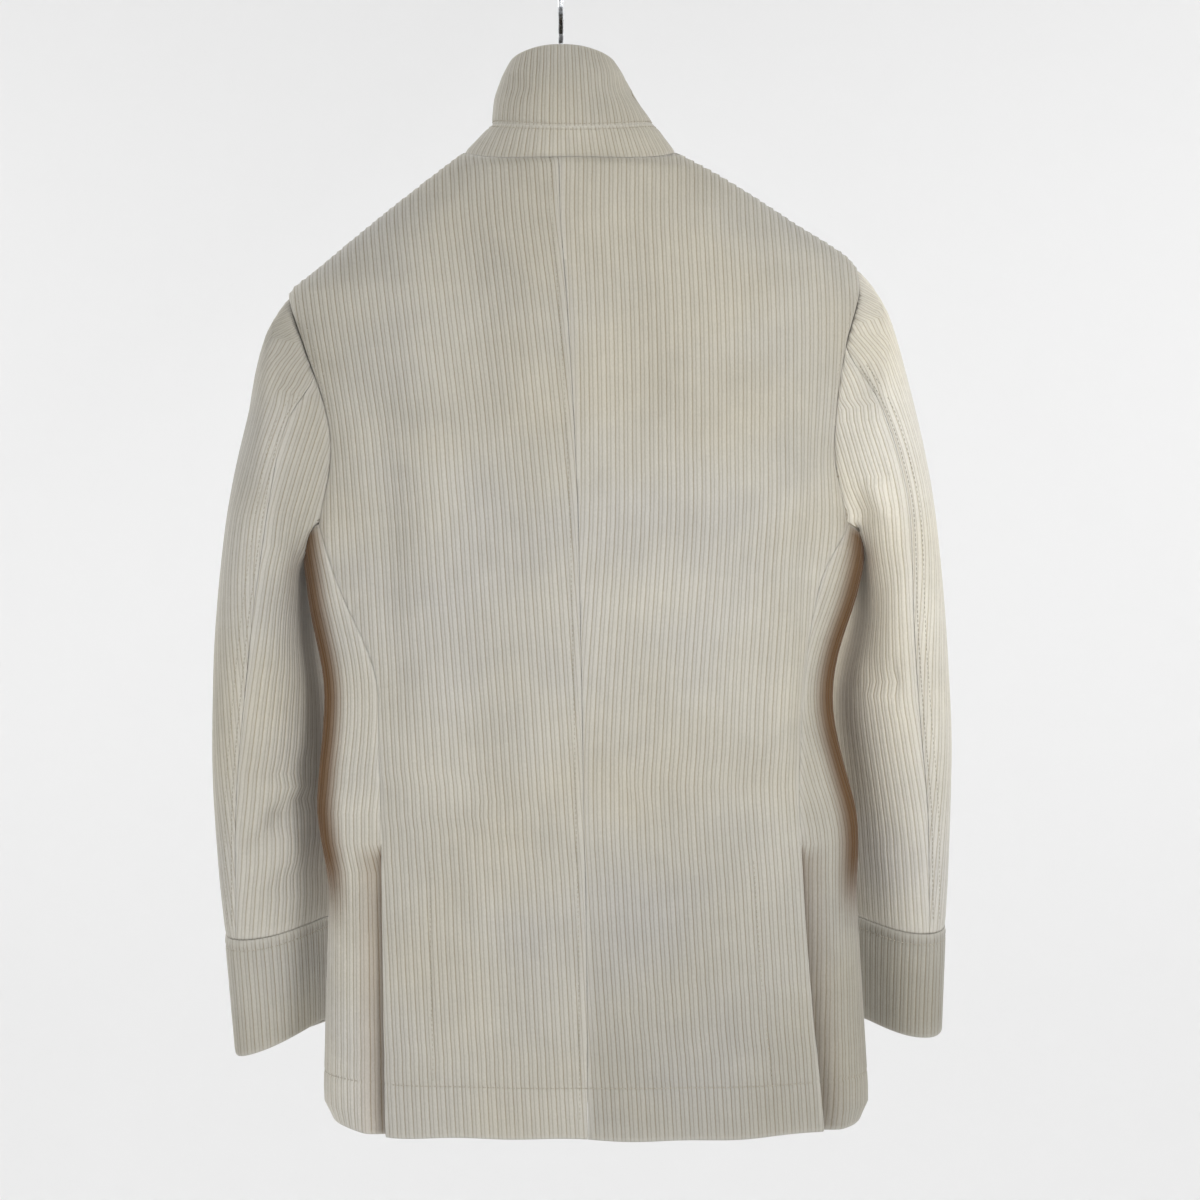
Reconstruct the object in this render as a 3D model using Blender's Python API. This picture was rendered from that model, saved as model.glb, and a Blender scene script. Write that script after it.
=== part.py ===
"""A man's double-breasted peacoat in broad-wale corduroy, hung on a shaped hanger, collar turned up.

The coat's front faces -Y and the wearer's left is +X. The origin is the inside top of the hanger's
hook, so everything hangs below it. Sizes are in millimetres, as a tailor writes them, and become
metres where a mesh is made.

The body is a run of level sections. Each section is a closed loop, measured round from the
centre-back seam, positive towards the wearer's left. A panel is the part of the loops between two
lengths, so its edges are the real seams, and its wales are lines of equal length round the body.
"""

import math
from collections import namedtuple

import bmesh
import bpy
import numpy as np
from mathutils import Matrix, Vector

MM = 0.001

# The cloth: broad-wale corduroy with its interlining, measured over the wales. LAYER is how far
# below its neighbour's face a lapped edge lies.
WALL = 3.0
WALE_PITCH = 7.0
WALE_DEPTH = 0.9
WALES_PER_INNER_STEP = 4
LAYER = 5.0

# The seams. The gaps stand between the outer faces of sewn pieces, and a mitre is how far the
# inner face stops short of the seam. At the armhole the cloth's direction is taken over a reach.
SEAM_GAP = 0.3
ARMHOLE_GAP = 0.7
COLLAR_SEAM_GAP = 0.8
MITRE = 1.6
ARMHOLE_MITRE = 3.2
ARMHOLE_REACH = 12.0

LOOP_STEPS = 360

# The front: the left front laps over the right one.
LAP_OVER = 62.0
LAP_UNDER = 42.0
NECK_FRONT_DROP = 74.0
NECK_DROP_REACH = 230.0
HEM_BACK_DROP = 6.0

# The vents, one at each side-back seam.
VENT_TOP_ROW = 10
UNDERLAY = 42.0

# The hanger: the size of its arm's section and of its hub, the clear space under the shoulders, and
# the section itself as shares of thickness and height, from the top edge round. Then the hook's
# wire, its bend, and its stem as y and z.
ARM_THICK = 14.0
ARM_BACKWARD = 1.0
ARM_HEIGHT = 26.0
HUB_THICKER = 1.25
HUB_HIGHER = 1.3
ARM_SECTION = (
    (0.0, 0.0), (0.4, -0.12), (0.85, -0.45), (0.9, -0.8), (0.5, -1.0), (-0.5, -1.0), (-0.9, -0.8),
    (-0.85, -0.45), (-0.4, -0.12),
)
HOOK_WIRE = 4.2
HOOK_INNER_RADIUS = 17.0
HOOK_STEM = ((0.0, -117.6), (0.0, -80.0), (0.0, -58.0), (0.8, -49.0), (3.6, -41.0))
HUB_TOP = -118.0
ARM_CLEAR = 0.4

# The buttons: their columns stand either side of the lap's middle. The profile runs from the
# middle of the back face, round the rolled rim, to the middle of the dish.
BUTTON_RADIUS = 14.0
BUTTON_PROFILE = (
    (0.0, 0.0), (12.5, 0.0), (BUTTON_RADIUS, 1.5), (BUTTON_RADIUS, 3.0), (12.5, 4.5), (10.0, 3.4), (0.0, 3.0),
)
BUTTON_SIDES = 16
BUTTON_COLUMN = 42.0
BUTTON_MIDDLE = -12.0
BUTTON_CLEAR = 0.4
BUTTON_HEIGHTS = (-300.0, -410.0, -520.0)

# Level sections of the body, top to bottom. left and right are its outermost x, back and front its
# depth on the middle line, square the power of the rounded outline (2 is an ellipse), and seam the
# x of the centre-back seam.
Section = namedtuple("Section", "z left right back front square seam")
BODY = [
    Section(-140, 82, -90, 58, -55, 2.1, 2),
    Section(-157, 104, -128, 63, -58, 2.1, 1),
    Section(-196, 154, -190, 71, -64, 2.1, 0),
    Section(-237, 203, -248, 76, -71, 2.2, -3),
    Section(-261, 225, -254, 78, -74, 2.4, -5),
    Section(-305, 221, -250, 80, -77, 2.6, -8),
    Section(-378, 210, -243, 84, -83, 2.7, -12),
    Section(-450, 203, -240, 83, -84, 2.6, -15),
    Section(-500, 198, -235, 81, -84, 2.5, -16),
    Section(-598, 189, -223, 76, -79, 2.5, -18),
    Section(-711, 192, -241, 76, -77, 2.5, -20),
    Section(-740, 193, -245, 77, -77, 2.5, -21),
    Section(-946, 198, -258, 79, -80, 2.5, -23),
]

# The armholes in side view: y of the back and front edge at each section that they cut. On the
# shoulder above them both edges lie on the ridge. The underarm hangs below its section by sag.
Armhole = namedtuple("Armhole", "row left_back left_front right_back right_front")
ARMHOLES = [
    Armhole(3, None, None, 0, 0),
    Armhole(4, 0, 0, 28, -24),
    Armhole(5, 39, -35, 46, -42),
    Armhole(6, 57, -59, 58, -60),
    Armhole(7, 45, -48, 45, -48),
]
UNDERARM_ROW = 7
UNDERARM_SAG = 19.0

# The seams on either side of each side body, as x on the back and as a share of the half width
# on the front, for the sections below the armholes.
SideSeam = namedtuple("SideSeam", "row left right front_share")
SIDE_SEAMS = [
    SideSeam(8, 179, -212, 0.90),
    SideSeam(9, 150, -199, 0.86),
    SideSeam(10, 147, -197, 0.84),
    SideSeam(11, 147, -199, 0.84),
    SideSeam(12, 143, -217, 0.84),
]

# The largest folds, as soft ridges (height above 0) and troughs. side is 1 on the back and -1 on
# the front; a fold runs from x at top to x at bottom.
Fold = namedtuple("Fold", "side top x_top bottom x_bottom width height")
FOLDS = [
    Fold(1, -150, 72, -430, 64, 22, -5.0),
    Fold(1, -160, -58, -450, -68, 24, -5.0),
    Fold(1, -230, 118, -560, 104, 26, 4.0),
    Fold(1, -200, 24, -520, 14, 20, 2.5),
    Fold(1, -260, -120, -560, -128, 26, 3.5),
    Fold(1, -330, -186, -700, -176, 15, 4.5),
    Fold(1, -420, -158, -760, -150, 16, -4.0),
    Fold(1, -560, 60, -800, 96, 30, -3.5),
    Fold(1, -600, -60, -900, -100, 34, -3.5),
    Fold(1, -640, 0, -946, 10, 40, 3.0),
    Fold(-1, -230, 110, -520, 96, 26, -4.5),
    Fold(-1, -230, -120, -520, -118, 26, -4.5),
    Fold(-1, -560, 130, -946, 140, 30, 4.0),
    Fold(-1, -560, -165, -946, -178, 30, 4.0),
]

# The sleeves: loops from the armhole to the cuff seam, then the cuff. The outer and the inner
# point of each loop are given, its y, its half width from front to back, and the degrees that its
# front edge turns in across the coat, because the sleeve lies against the coat's rounded side.
ArmLoop = namedtuple("ArmLoop", "x_out z_out x_in z_in y half turn")
LEFT_SLEEVE = [
    ArmLoop(238, -279, 208, -479, 1, 66, 0),
    ArmLoop(257, -345, 214, -494, -3, 76, 4),
    ArmLoop(273, -452, 212, -540, -12, 76, 12),
    ArmLoop(283, -572, 203, -612, -26, 66, 19),
    ArmLoop(285, -650, 200, -672, -36, 60, 22),
    ArmLoop(283, -734, 199, -734, -47, 54, 22),
    ArmLoop(279, -797, 199, -784, -54, 50, 22),
]
LEFT_CUFF = [
    ArmLoop(279.5, -797, 198.5, -784, -54, 51, 22),
    ArmLoop(271, -896, 201, -873, -62, 49, 22),
]
RIGHT_SLEEVE = [
    ArmLoop(-264, -258, -244, -465, 1, 66, 0),
    ArmLoop(-286, -325, -250, -481, -3, 76, 4),
    ArmLoop(-305, -436, -250, -524, -12, 76, 12),
    ArmLoop(-316, -560, -236, -600, -26, 66, 19),
    ArmLoop(-319, -645, -242, -664, -36, 60, 22),
    ArmLoop(-319, -728, -248, -728, -47, 54, 22),
    ArmLoop(-318, -789, -251, -784, -54, 51, 22),
]
RIGHT_CUFF = [
    ArmLoop(-318.5, -789, -250.5, -784, -54, 52, 22),
    ArmLoop(-316, -878, -256, -872, -62, 50, 22),
]
# Where the hind-arm seam lies on each loop, in degrees from the outer point towards the back, and
# the top sleeve's share of the loop.
HIND_SEAM_AT_ARMHOLE = 92.0
HIND_SEAM_AT_CUFF = 38.0
TOP_SLEEVE_SHARE = 0.60

# The collar's loops above the neck seam: stand seam, then the leaf up to its edge, which is
# highest at the back. z is given at the back, the sides and the front.
CollarLoop = namedtuple("CollarLoop", "left right back front z_back z_side z_front")
COLLAR = [
    CollarLoop(58, -78, 60, -67, -127, -117, -184),
    CollarLoop(56, -64, 60, -78, -104, -97, -152),
    CollarLoop(50, -54, 56, -88, -80, -79, -121),
    CollarLoop(42, -44, 48, -97, -57, -64, -92),
]
COLLAR_FRONT_GAP = 6.0

CORD_CREAM = (0.72, 0.68, 0.57)
HORN_BROWN = (0.12, 0.07, 0.04)
BEECH = (0.55, 0.36, 0.19)
STEEL = (0.35, 0.36, 0.38)


def clear_scene():
    """Start from nothing."""
    for item in list(bpy.data.objects):
        bpy.data.objects.remove(item, do_unlink=True)


def finish(name, colour, roughness, metallic=0.0):
    """A plain surface finish in one colour."""
    made = bpy.data.materials.get(name) or bpy.data.materials.new(name)
    made.use_nodes = True
    shader = made.node_tree.nodes["Principled BSDF"]
    shader.inputs["Base Color"].default_value = (*colour, 1.0)
    shader.inputs["Roughness"].default_value = roughness
    shader.inputs["Metallic"].default_value = metallic
    return made


def corduroy():
    """Cotton corduroy: cream and without gloss."""
    return finish("cream corduroy", CORD_CREAM, 0.9)


def horn():
    """Polished horn of the buttons."""
    return finish("brown horn", HORN_BROWN, 0.35)


def beech():
    """Varnished beech of the hanger."""
    return finish("varnished beech", BEECH, 0.4)


def steel():
    """Plated steel wire of the hook."""
    return finish("plated steel", STEEL, 0.25, 1.0)


def add_object(name, form, material, sharp_angle=40.0):
    """Turn a finished form in metres into a named, smooth-shaded object."""
    bmesh.ops.recalc_face_normals(form, faces=form.faces)
    mesh = bpy.data.meshes.new(name)
    form.to_mesh(mesh)
    form.free()
    mesh.shade_smooth()
    mesh.set_sharp_from_angle(angle=math.radians(sharp_angle))
    mesh.materials.append(material)
    made = bpy.data.objects.new(name, mesh)
    bpy.context.scene.collection.objects.link(made)
    return made


def ease(value):
    """From 0 to 1 with level ends."""
    held = np.clip(value, 0.0, 1.0)
    return held * held * (3.0 - 2.0 * held)


def power(value, exponent):
    """A signed power, for rounded outlines."""
    return np.sign(value) * np.abs(value) ** exponent


class Tube:
    """Closed loops one above another, each read by the length round it from a reference line.

    Where even is set, every loop is read as if it were as long as the lowest, so lines of equal
    length round the tube lean with its sides instead of running off its edge. reach is the length
    either side of a point over which the direction of the cloth is taken.
    """

    def __init__(self, loops, starts, even=False, reach=2.0):
        self.loops = [np.vstack([loop, loop[:1]]) for loop in loops]
        self.lengths = [self.measure(loop) for loop in self.loops]
        if even:
            longest = self.lengths[-1][-1]
            self.lengths = [length * longest / length[-1] for length in self.lengths]
        self.starts = starts
        self.reach = reach
        self.hand = 1.0
        middle_row = len(loops) // 2
        from_middle = self.point(middle_row, 0.0) - loops[middle_row].mean(axis=0)
        if np.dot(self.outward(middle_row, 0.0), from_middle) < 0:
            self.hand = -1.0

    @staticmethod
    def measure(loop):
        steps = np.linalg.norm(np.diff(loop, axis=0), axis=1)
        return np.concatenate([[0.0], np.cumsum(steps)])

    def girth(self, row):
        return self.lengths[row][-1]

    def point(self, row, along):
        """The point at a length round a loop."""
        where = (self.starts[row] + along) % self.girth(row)
        loop = self.loops[row]
        return np.array([np.interp(where, self.lengths[row], loop[:, axis]) for axis in range(3)])

    def outward(self, row, along):
        """The direction that the cloth faces there."""
        share = along / self.girth(row)
        above = max(row - 1, 0)
        below = min(row + 1, len(self.loops) - 1)
        round_it = self.point(row, along + self.reach) - self.point(row, along - self.reach)
        up = self.point(above, share * self.girth(above)) - self.point(below, share * self.girth(below))
        facing = np.cross(up, round_it)
        return facing / np.linalg.norm(facing) * self.hand

    def length_where(self, row, wanted):
        """The length round a loop of the sample for which wanted(points) is smallest."""
        best = int(np.argmin(wanted(self.loops[row][:-1])))
        girth = self.girth(row)
        along = (self.lengths[row][best] - self.starts[row]) % girth
        return along if along < girth / 2 else along - girth


def fold_relief(points, facing):
    """Move the points of a section out and in by the folds."""
    moved = points.copy()
    for fold in FOLDS:
        share = (fold.top - points[:, 2]) / (fold.top - fold.bottom)
        middle = fold.x_top + np.clip(share, 0, 1) * (fold.x_bottom - fold.x_top)
        fade = ease(share / 0.25) * ease((1.0 - share) / 0.25)
        if fold.bottom <= BODY[-1].z:
            fade = ease(share / 0.25)
        across = np.exp(-(((points[:, 0] - middle) / fold.width) ** 2))
        on_side = ease(points[:, 1] * fold.side / 20.0)
        moved += facing * (fold.height * fade * across * on_side)[:, None]
    return moved


def body_loop(row):
    """One section of the coat as points, clockwise from above, from the middle of the back."""
    section = BODY[row]
    turn = np.linspace(0.0, 2.0 * math.pi, LOOP_STEPS, endpoint=False)
    middle = (section.left + section.right) / 2
    half = (section.left - section.right) / 2
    x = middle + half * power(np.sin(turn), 2 / section.square)
    depth = np.where(np.cos(turn) > 0, section.back, -section.front)
    y = depth * power(np.cos(turn), 2 / section.square)
    z = np.full(LOOP_STEPS, float(section.z))

    below_neck = BODY[0].z - section.z
    neck_share = max(0.0, 1.0 - below_neck / NECK_DROP_REACH) ** 2
    z -= NECK_FRONT_DROP * neck_share * ease(-y / -section.front)
    if row == 0:
        z -= 11.0 * ease(y / section.back)
    if row == UNDERARM_ROW:
        z -= UNDERARM_SAG * ease(1.0 - np.abs(y) / 46.0)
    if row == len(BODY) - 1:
        z -= HEM_BACK_DROP * ease(y / section.back)

    points = np.stack([x, y, z], axis=1)
    along = np.roll(points, -1, axis=0) - np.roll(points, 1, axis=0)
    facing = np.stack([-along[:, 1], along[:, 0], np.zeros(LOOP_STEPS)], axis=1)
    facing /= np.linalg.norm(facing, axis=1)[:, None]
    centre = np.array([middle, 0.0, section.z])
    turned = np.sum(facing * (points - centre), axis=1) < 0
    facing[turned] *= -1
    return fold_relief(points, facing)


def body_tube():
    """The whole body, read from the centre-back seam."""
    starts = [section.seam - (section.left + section.right) / 2 for section in BODY]
    return Tube([body_loop(row) for row in range(len(BODY))], starts)


def side_edge(body, row, side, y):
    """Length round a section to where its side, 1 for left and -1 for right, has this y."""
    middle = (BODY[row].left + BODY[row].right) / 2
    return body.length_where(
        row, lambda points: np.abs(points[:, 1] - y) + 1e3 * ((points[:, 0] - middle) * side < 0)
    )


def back_seam_edge(body, row, x):
    """Length round a section to where its back has this x."""
    return body.length_where(
        row, lambda points: np.abs(points[:, 0] - x) + 1e3 * (points[:, 1] < 0)
    )


def front_seam_edge(body, row, side, share):
    """Length round a section to where its front is this share of the half width from the middle."""
    middle = (BODY[row].left + BODY[row].right) / 2
    x = middle + side * share * (BODY[row].left - BODY[row].right) / 2
    return body.length_where(
        row, lambda points: np.abs(points[:, 0] - x) + 1e3 * (points[:, 1] > 0)
    )


class BodySeams:
    """Lengths round each section to its seams, on one side: 1 is the wearer's left."""

    def __init__(self, body, side):
        self.side = side
        self.back, self.front, self.middle = {}, {}, {}
        for row, section in enumerate(BODY):
            centre_front = body.length_where(
                row, lambda p, s=section: np.abs(p[:, 0] - (s.left + s.right) / 2) + 1e3 * (p[:, 1] > 0)
            )
            girth = body.girth(row)
            self.middle[row] = centre_front % girth if side > 0 else centre_front % girth - girth
            self.back[row] = self.front[row] = side_edge(body, row, side, 0.0)
        for hole in ARMHOLES:
            back = hole.left_back if side > 0 else hole.right_back
            front = hole.left_front if side > 0 else hole.right_front
            if back is not None:
                self.back[hole.row] = side_edge(body, hole.row, side, back)
                self.front[hole.row] = side_edge(body, hole.row, side, front)
        for seam in SIDE_SEAMS:
            self.back[seam.row] = back_seam_edge(body, seam.row, seam.left if side > 0 else seam.right)
            self.front[seam.row] = front_seam_edge(body, seam.row, side, seam.front_share)

    def first_armhole_row(self):
        return min(h.row for h in ARMHOLES if (h.left_back if self.side > 0 else h.right_back) is not None)


def no_sink(row, along):
    """A panel that lies in the face of its tube."""
    return 0.0


def cloth_panel(name, tube, edges, middle=None, sink=no_sink, ribbed=True, top_mitre=MITRE):
    """A wall of corduroy between two edges on the tube, its outer face raised in wales.

    edges gives the start and end length on each row. The wales lie at equal steps from the line
    middle, and stop where the panel's edge cuts them. The inner face is plain.
    """
    rows = sorted(edges)
    half_pitch = WALE_PITCH / 2
    per_inner = 2 * WALES_PER_INNER_STEP
    line = middle or {row: 0.0 for row in rows}
    lowest = min((edges[row][0] - line[row]) / half_pitch for row in rows)
    highest = max((edges[row][1] - line[row]) / half_pitch for row in rows)
    first = per_inner * math.floor(lowest / per_inner)
    last = per_inner * math.ceil(highest / per_inner)
    counts = list(range(first, last + 1))

    def place(row, count, depth):
        start, end = edges[row]
        along = line[row] + count * half_pitch
        near = half_pitch * 0.35
        if along < start + near or count == first:
            along = start
        elif along > end - near or count == last:
            along = end
        inside = start < along < end
        groove = WALE_DEPTH * (count % 2) if inside else WALE_DEPTH / 2
        deep = depth if depth else (groove if ribbed else 0.0)
        point = tube.point(row, along) - tube.outward(row, along) * (deep + sink(row, along))
        if depth:
            inward = MITRE if along == start else -MITRE if along == end else 0.0
            aside = tube.point(row, along + inward) - tube.point(row, along)
            point = point + aside + mitre_at_end(tube, rows, row, along, top_mitre)
        return point * MM

    form = bmesh.new()
    outer_counts = counts if ribbed else counts[::per_inner]
    inner_counts = counts[::per_inner]
    outer = [[form.verts.new(place(row, count, 0.0)) for count in outer_counts] for row in rows]
    inner = [[form.verts.new(place(row, count, WALL)) for count in inner_counts] for row in rows]
    join_faces(form, outer, inner, per_inner if ribbed else 1)
    bmesh.ops.remove_doubles(form, verts=form.verts, dist=0.00001)
    bmesh.ops.dissolve_degenerate(form, edges=form.edges, dist=0.000005)
    bmesh.ops.triangulate(form, faces=form.faces)
    return add_object(name, form, corduroy())


def mitre_at_end(tube, rows, row, along, top_mitre):
    """How far the inner face stops short of the panel's upper or lower edge."""
    if row == rows[0]:
        next_row, reach = row + 1, top_mitre
    elif row == rows[-1]:
        next_row, reach = row - 1, MITRE
    else:
        return np.zeros(3)
    share = along / tube.girth(row)
    away = tube.point(next_row, share * tube.girth(next_row)) - tube.point(row, along)
    return away / np.linalg.norm(away) * reach


def join_faces(form, outer, inner, share):
    """Close an outer and an inner grid of points, whose columns are share to one, into a wall."""
    for upper, lower in zip(outer, outer[1:]):
        for a, b, c, d in zip(upper, upper[1:], lower[1:], lower):
            form.faces.new((a, b, c, d))
    for upper, lower in zip(inner, inner[1:]):
        for a, b, c, d in zip(upper, upper[1:], lower[1:], lower):
            form.faces.new((d, c, b, a))
    for fine, plain in ((outer[0], inner[0]), (outer[-1], inner[-1])):
        for place in range(len(plain) - 1):
            stretch = fine[place * share : (place + 1) * share + 1]
            form.faces.new((*stretch, plain[place + 1], plain[place]))
    for column in (0, -1):
        for row in range(len(outer) - 1):
            form.faces.new(
                (outer[row][column], outer[row + 1][column], inner[row + 1][column], inner[row][column])
            )


def make_backs(body, left, right):
    """The two halves of the back, from the neck seam to the hem."""
    rows = range(len(BODY))
    half_gap = SEAM_GAP / 2
    cloth_panel("back_left", body, {row: (half_gap, left.back[row] - half_gap) for row in rows})
    cloth_panel("back_right", body, {row: (right.back[row] + half_gap, -half_gap) for row in rows})


def make_sides(body, left, right):
    """The side bodies. Below the vent's top each runs on under the back as an underlay."""
    fan = {1: 9.0, -1: 4.0}
    for name, seams in (("side_left", left), ("side_right", right)):
        side = seams.side
        edges = {}
        for row in range(UNDERARM_ROW, len(BODY)):
            under = UNDERLAY if row > VENT_TOP_ROW else 0.0
            near_back = seams.back[row] + side * (SEAM_GAP / 2 - under)
            near_front = seams.front[row] - side * SEAM_GAP / 2
            edges[row] = (min(near_back, near_front), max(near_back, near_front))

        def sink(row, along, seams=seams, side=side):
            if row < VENT_TOP_ROW:
                return 0.0
            past = (along - seams.back[row]) * side
            share = (BODY[VENT_TOP_ROW].z - BODY[row].z) / (BODY[VENT_TOP_ROW].z - BODY[-1].z)
            depth = LAYER + fan[side] * share
            return depth * (1.0 - float(ease((past - 1.0) / 32.0)))

        cloth_panel(name, body, edges, middle=dict(seams.front), sink=sink, top_mitre=ARMHOLE_MITRE)


def make_fronts(body, left, right):
    """The fronts. The left one laps over the right one, which sinks to pass behind it."""
    rows = range(len(BODY))
    half_gap = SEAM_GAP / 2
    cloth_panel(
        "front_left",
        body,
        {row: (left.front[row] + half_gap, left.middle[row] + LAP_OVER) for row in rows},
        middle=dict(left.middle),
    )

    def sink(row, along):
        past = along - right.middle[row] - LAP_OVER
        return LAYER * (1.0 - float(ease((past - 3.0) / 26.0)))

    cloth_panel(
        "front_right",
        body,
        {row: (right.middle[row] - LAP_UNDER, right.front[row] - half_gap) for row in rows},
        middle=dict(right.middle),
        sink=sink,
    )


def armhole_loop(body, seams):
    """The armhole's edge as points: from the shoulder down the back, under the arm, up the front."""
    top = seams.first_armhole_row()
    down = [body.point(row, seams.back[row]) for row in range(top, UNDERARM_ROW)]
    start, end = seams.back[UNDERARM_ROW], seams.front[UNDERARM_ROW]
    under = [body.point(UNDERARM_ROW, along) for along in np.linspace(start, end, 25)]
    up = [body.point(row, seams.front[row]) for row in range(UNDERARM_ROW - 1, top, -1)]
    return np.array(down + under + up)


def resample(points, steps):
    """Even points round a closed outline."""
    closed = np.vstack([points, points[:1]])
    lengths = Tube.measure(closed)
    where = np.linspace(0.0, lengths[-1], steps, endpoint=False)
    return np.stack([np.interp(where, lengths, closed[:, axis]) for axis in range(3)], axis=1)


def arm_loop(row):
    """One loop of a sleeve, from its outer point by way of the back."""
    outer = np.array([row.x_out, row.y, row.z_out])
    inner = np.array([row.x_in, row.y, row.z_in])
    turn = np.linspace(0.0, 2.0 * math.pi, LOOP_STEPS, endpoint=False)
    across = power(np.cos(turn), 2 / 2.2)[:, None] * (outer - inner) / 2
    turned_in = math.radians(row.turn) * np.sign(row.x_out)
    wide = np.array([math.sin(turned_in), math.cos(turned_in), 0.0]) * row.half
    back = power(np.sin(turn), 2 / 2.2)[:, None] * wide
    return (outer + inner) / 2 + across + back


def sleeve_tube(body, seams, table):
    """A sleeve from its armhole to its cuff seam, read from the hind-arm seam."""
    hole = resample(armhole_loop(body, seams), LOOP_STEPS)
    loops = [hole] + [arm_loop(row) for row in table]
    toward = loops[1] - hole
    toward /= np.linalg.norm(toward, axis=1)[:, None]
    loops[0] = hole + toward * SEAM_GAP + np.array([seams.side * ARMHOLE_GAP, 0.0, 0.0])
    starts = []
    for number, loop in enumerate(loops):
        share = number / (len(loops) - 1)
        degrees = HIND_SEAM_AT_ARMHOLE + share * (HIND_SEAM_AT_CUFF - HIND_SEAM_AT_ARMHOLE)
        lengths = Tube.measure(np.vstack([loop, loop[:1]]))
        starts.append(lengths[int(round(degrees / 360.0 * LOOP_STEPS))])
    below, under = (Tube.measure(np.vstack([loop, loop[:1]])) for loop in (loops[1], loops[0]))
    share = (below[LOOP_STEPS // 2] - starts[1]) / below[-1]
    starts[0] = under[int(np.argmin(loops[0][:, 2]))] - share * under[-1]
    return Tube(loops, starts, reach=ARMHOLE_REACH)


def make_sleeve(name, tube):
    """A two-piece sleeve: the under sleeve runs on from the hind seam, the top sleeve comes back."""
    rows = range(len(tube.loops))
    half_gap = SEAM_GAP / 2
    under = {row: (1.0 - TOP_SLEEVE_SHARE) * tube.girth(row) for row in rows}
    under_edges = {row: (half_gap, under[row] - half_gap) for row in rows}
    top_edges = {row: (under[row] + half_gap, tube.girth(row) - half_gap) for row in rows}
    for part, edges in (("under", under_edges), ("top", top_edges)):
        line = {row: sum(edges[row]) / 2 for row in rows}
        cloth_panel(f"{part}_sleeve_{name}", tube, edges, middle=line, top_mitre=ARMHOLE_MITRE)


def make_cuff(name, table):
    """A deep cuff, sewn to the sleeve's end and closed at the hind-arm seam."""
    loops = [arm_loop(row) for row in table]
    loops[0] = loops[0] - np.array([0.0, 0.0, SEAM_GAP])
    start = int(round(HIND_SEAM_AT_CUFF / 360.0 * LOOP_STEPS))
    starts = [Tube.measure(np.vstack([loop, loop[:1]]))[start] for loop in loops]
    tube = Tube(loops, starts)
    half_gap = SEAM_GAP / 2
    edges = {row: (half_gap, tube.girth(row) - half_gap) for row in range(len(loops))}
    cloth_panel(f"cuff_{name}", tube, edges)


def collar_loop(row):
    """One loop of the collar, from the middle of the back, leaning in and low at the front."""
    turn = np.linspace(0.0, 2.0 * math.pi, LOOP_STEPS, endpoint=False)
    middle, half = (row.left + row.right) / 2, (row.left - row.right) / 2
    x = middle + half * power(np.sin(turn), 2 / 2.1)
    depth = np.where(np.cos(turn) > 0, row.back, -row.front)
    y = depth * power(np.cos(turn), 2 / 2.1)
    to_back = ease(y / row.back)
    to_front = ease(y / row.front)
    z = row.z_side + (row.z_back - row.z_side) * to_back + (row.z_front - row.z_side) * to_front
    return np.stack([x, y, z], axis=1)


def make_collar(body):
    """The stand on the neck seam, and the leaf above it, open at the centre front."""
    neck = body_loop(0) + np.array([0.0, 0.0, SEAM_GAP])
    upper = [collar_loop(row) for row in COLLAR]
    lifted = upper[0] + np.array([0.0, 0.0, COLLAR_SEAM_GAP])
    half_gap = COLLAR_FRONT_GAP / 2
    for name, loops in (("collar_leaf", upper[:0:-1] + [lifted]), ("collar_stand", [upper[0], neck])):
        tube = Tube(loops, [0.0] * len(loops), even=True)
        edges = {
            row: (-tube.girth(row) / 2 + half_gap, tube.girth(row) / 2 - half_gap)
            for row in range(len(loops))
        }
        cloth_panel(name, tube, edges, top_mitre=ARMHOLE_MITRE)


def make_button(name, body, row_z, x):
    """A horn button: a dished disc with a rolled rim, flat against the front."""
    lower = next(row for row, section in enumerate(BODY) if section.z < row_z)
    points = []
    for row in (lower - 1, lower):
        loop = body.loops[row][:-1]
        front = loop[loop[:, 1] < 0]
        points.append(front[np.argmin(np.abs(front[:, 0] - x))])
    share = (points[0][2] - row_z) / (points[0][2] - points[1][2])
    place = points[0] + share * (points[1] - points[0])
    form = bmesh.new()
    verts = [form.verts.new(Vector((radius, 0.0, depth)) * MM) for radius, depth in BUTTON_PROFILE]
    edges = [form.edges.new(pair) for pair in zip(verts, verts[1:])]
    round_it = {"axis": (0, 0, 1), "cent": (0, 0, 0), "angle": 2 * math.pi}
    bmesh.ops.spin(form, geom=verts + edges, steps=BUTTON_SIDES, use_merge=True, **round_it)
    bmesh.ops.remove_doubles(form, verts=form.verts, dist=0.00001)
    tilt = math.atan2(points[1][1] - points[0][1], points[0][2] - points[1][2])
    turned = Matrix.Rotation(math.radians(90.0) + tilt, 4, "X")
    bmesh.ops.transform(form, matrix=turned, verts=form.verts)
    clear = Vector((0.0, -BUTTON_CLEAR * math.cos(tilt), -BUTTON_CLEAR * math.sin(tilt)))
    bmesh.ops.translate(form, vec=(Vector(place) + clear) * MM, verts=form.verts)
    return add_object(name, form, horn())


def make_buttons(body):
    """Two columns of three, as far apart as the lap is wide."""
    number = 1
    for row_z in BUTTON_HEIGHTS:
        for side in (1, -1):
            middle = BUTTON_MIDDLE + side * BUTTON_COLUMN
            make_button(f"button_{number}", body, row_z, middle)
            number += 1


def shoulder_line(body, seams, top, bottom):
    """Points on the inside of a shoulder's ridge, where the hanger's arm touches it."""
    line = []
    for row in range(top, bottom + 1):
        along = side_edge(body, row, seams.side, 0.0)
        line.append(body.point(row, along) - body.outward(row, along) * (WALL + ARM_CLEAR))
    return line


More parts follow.
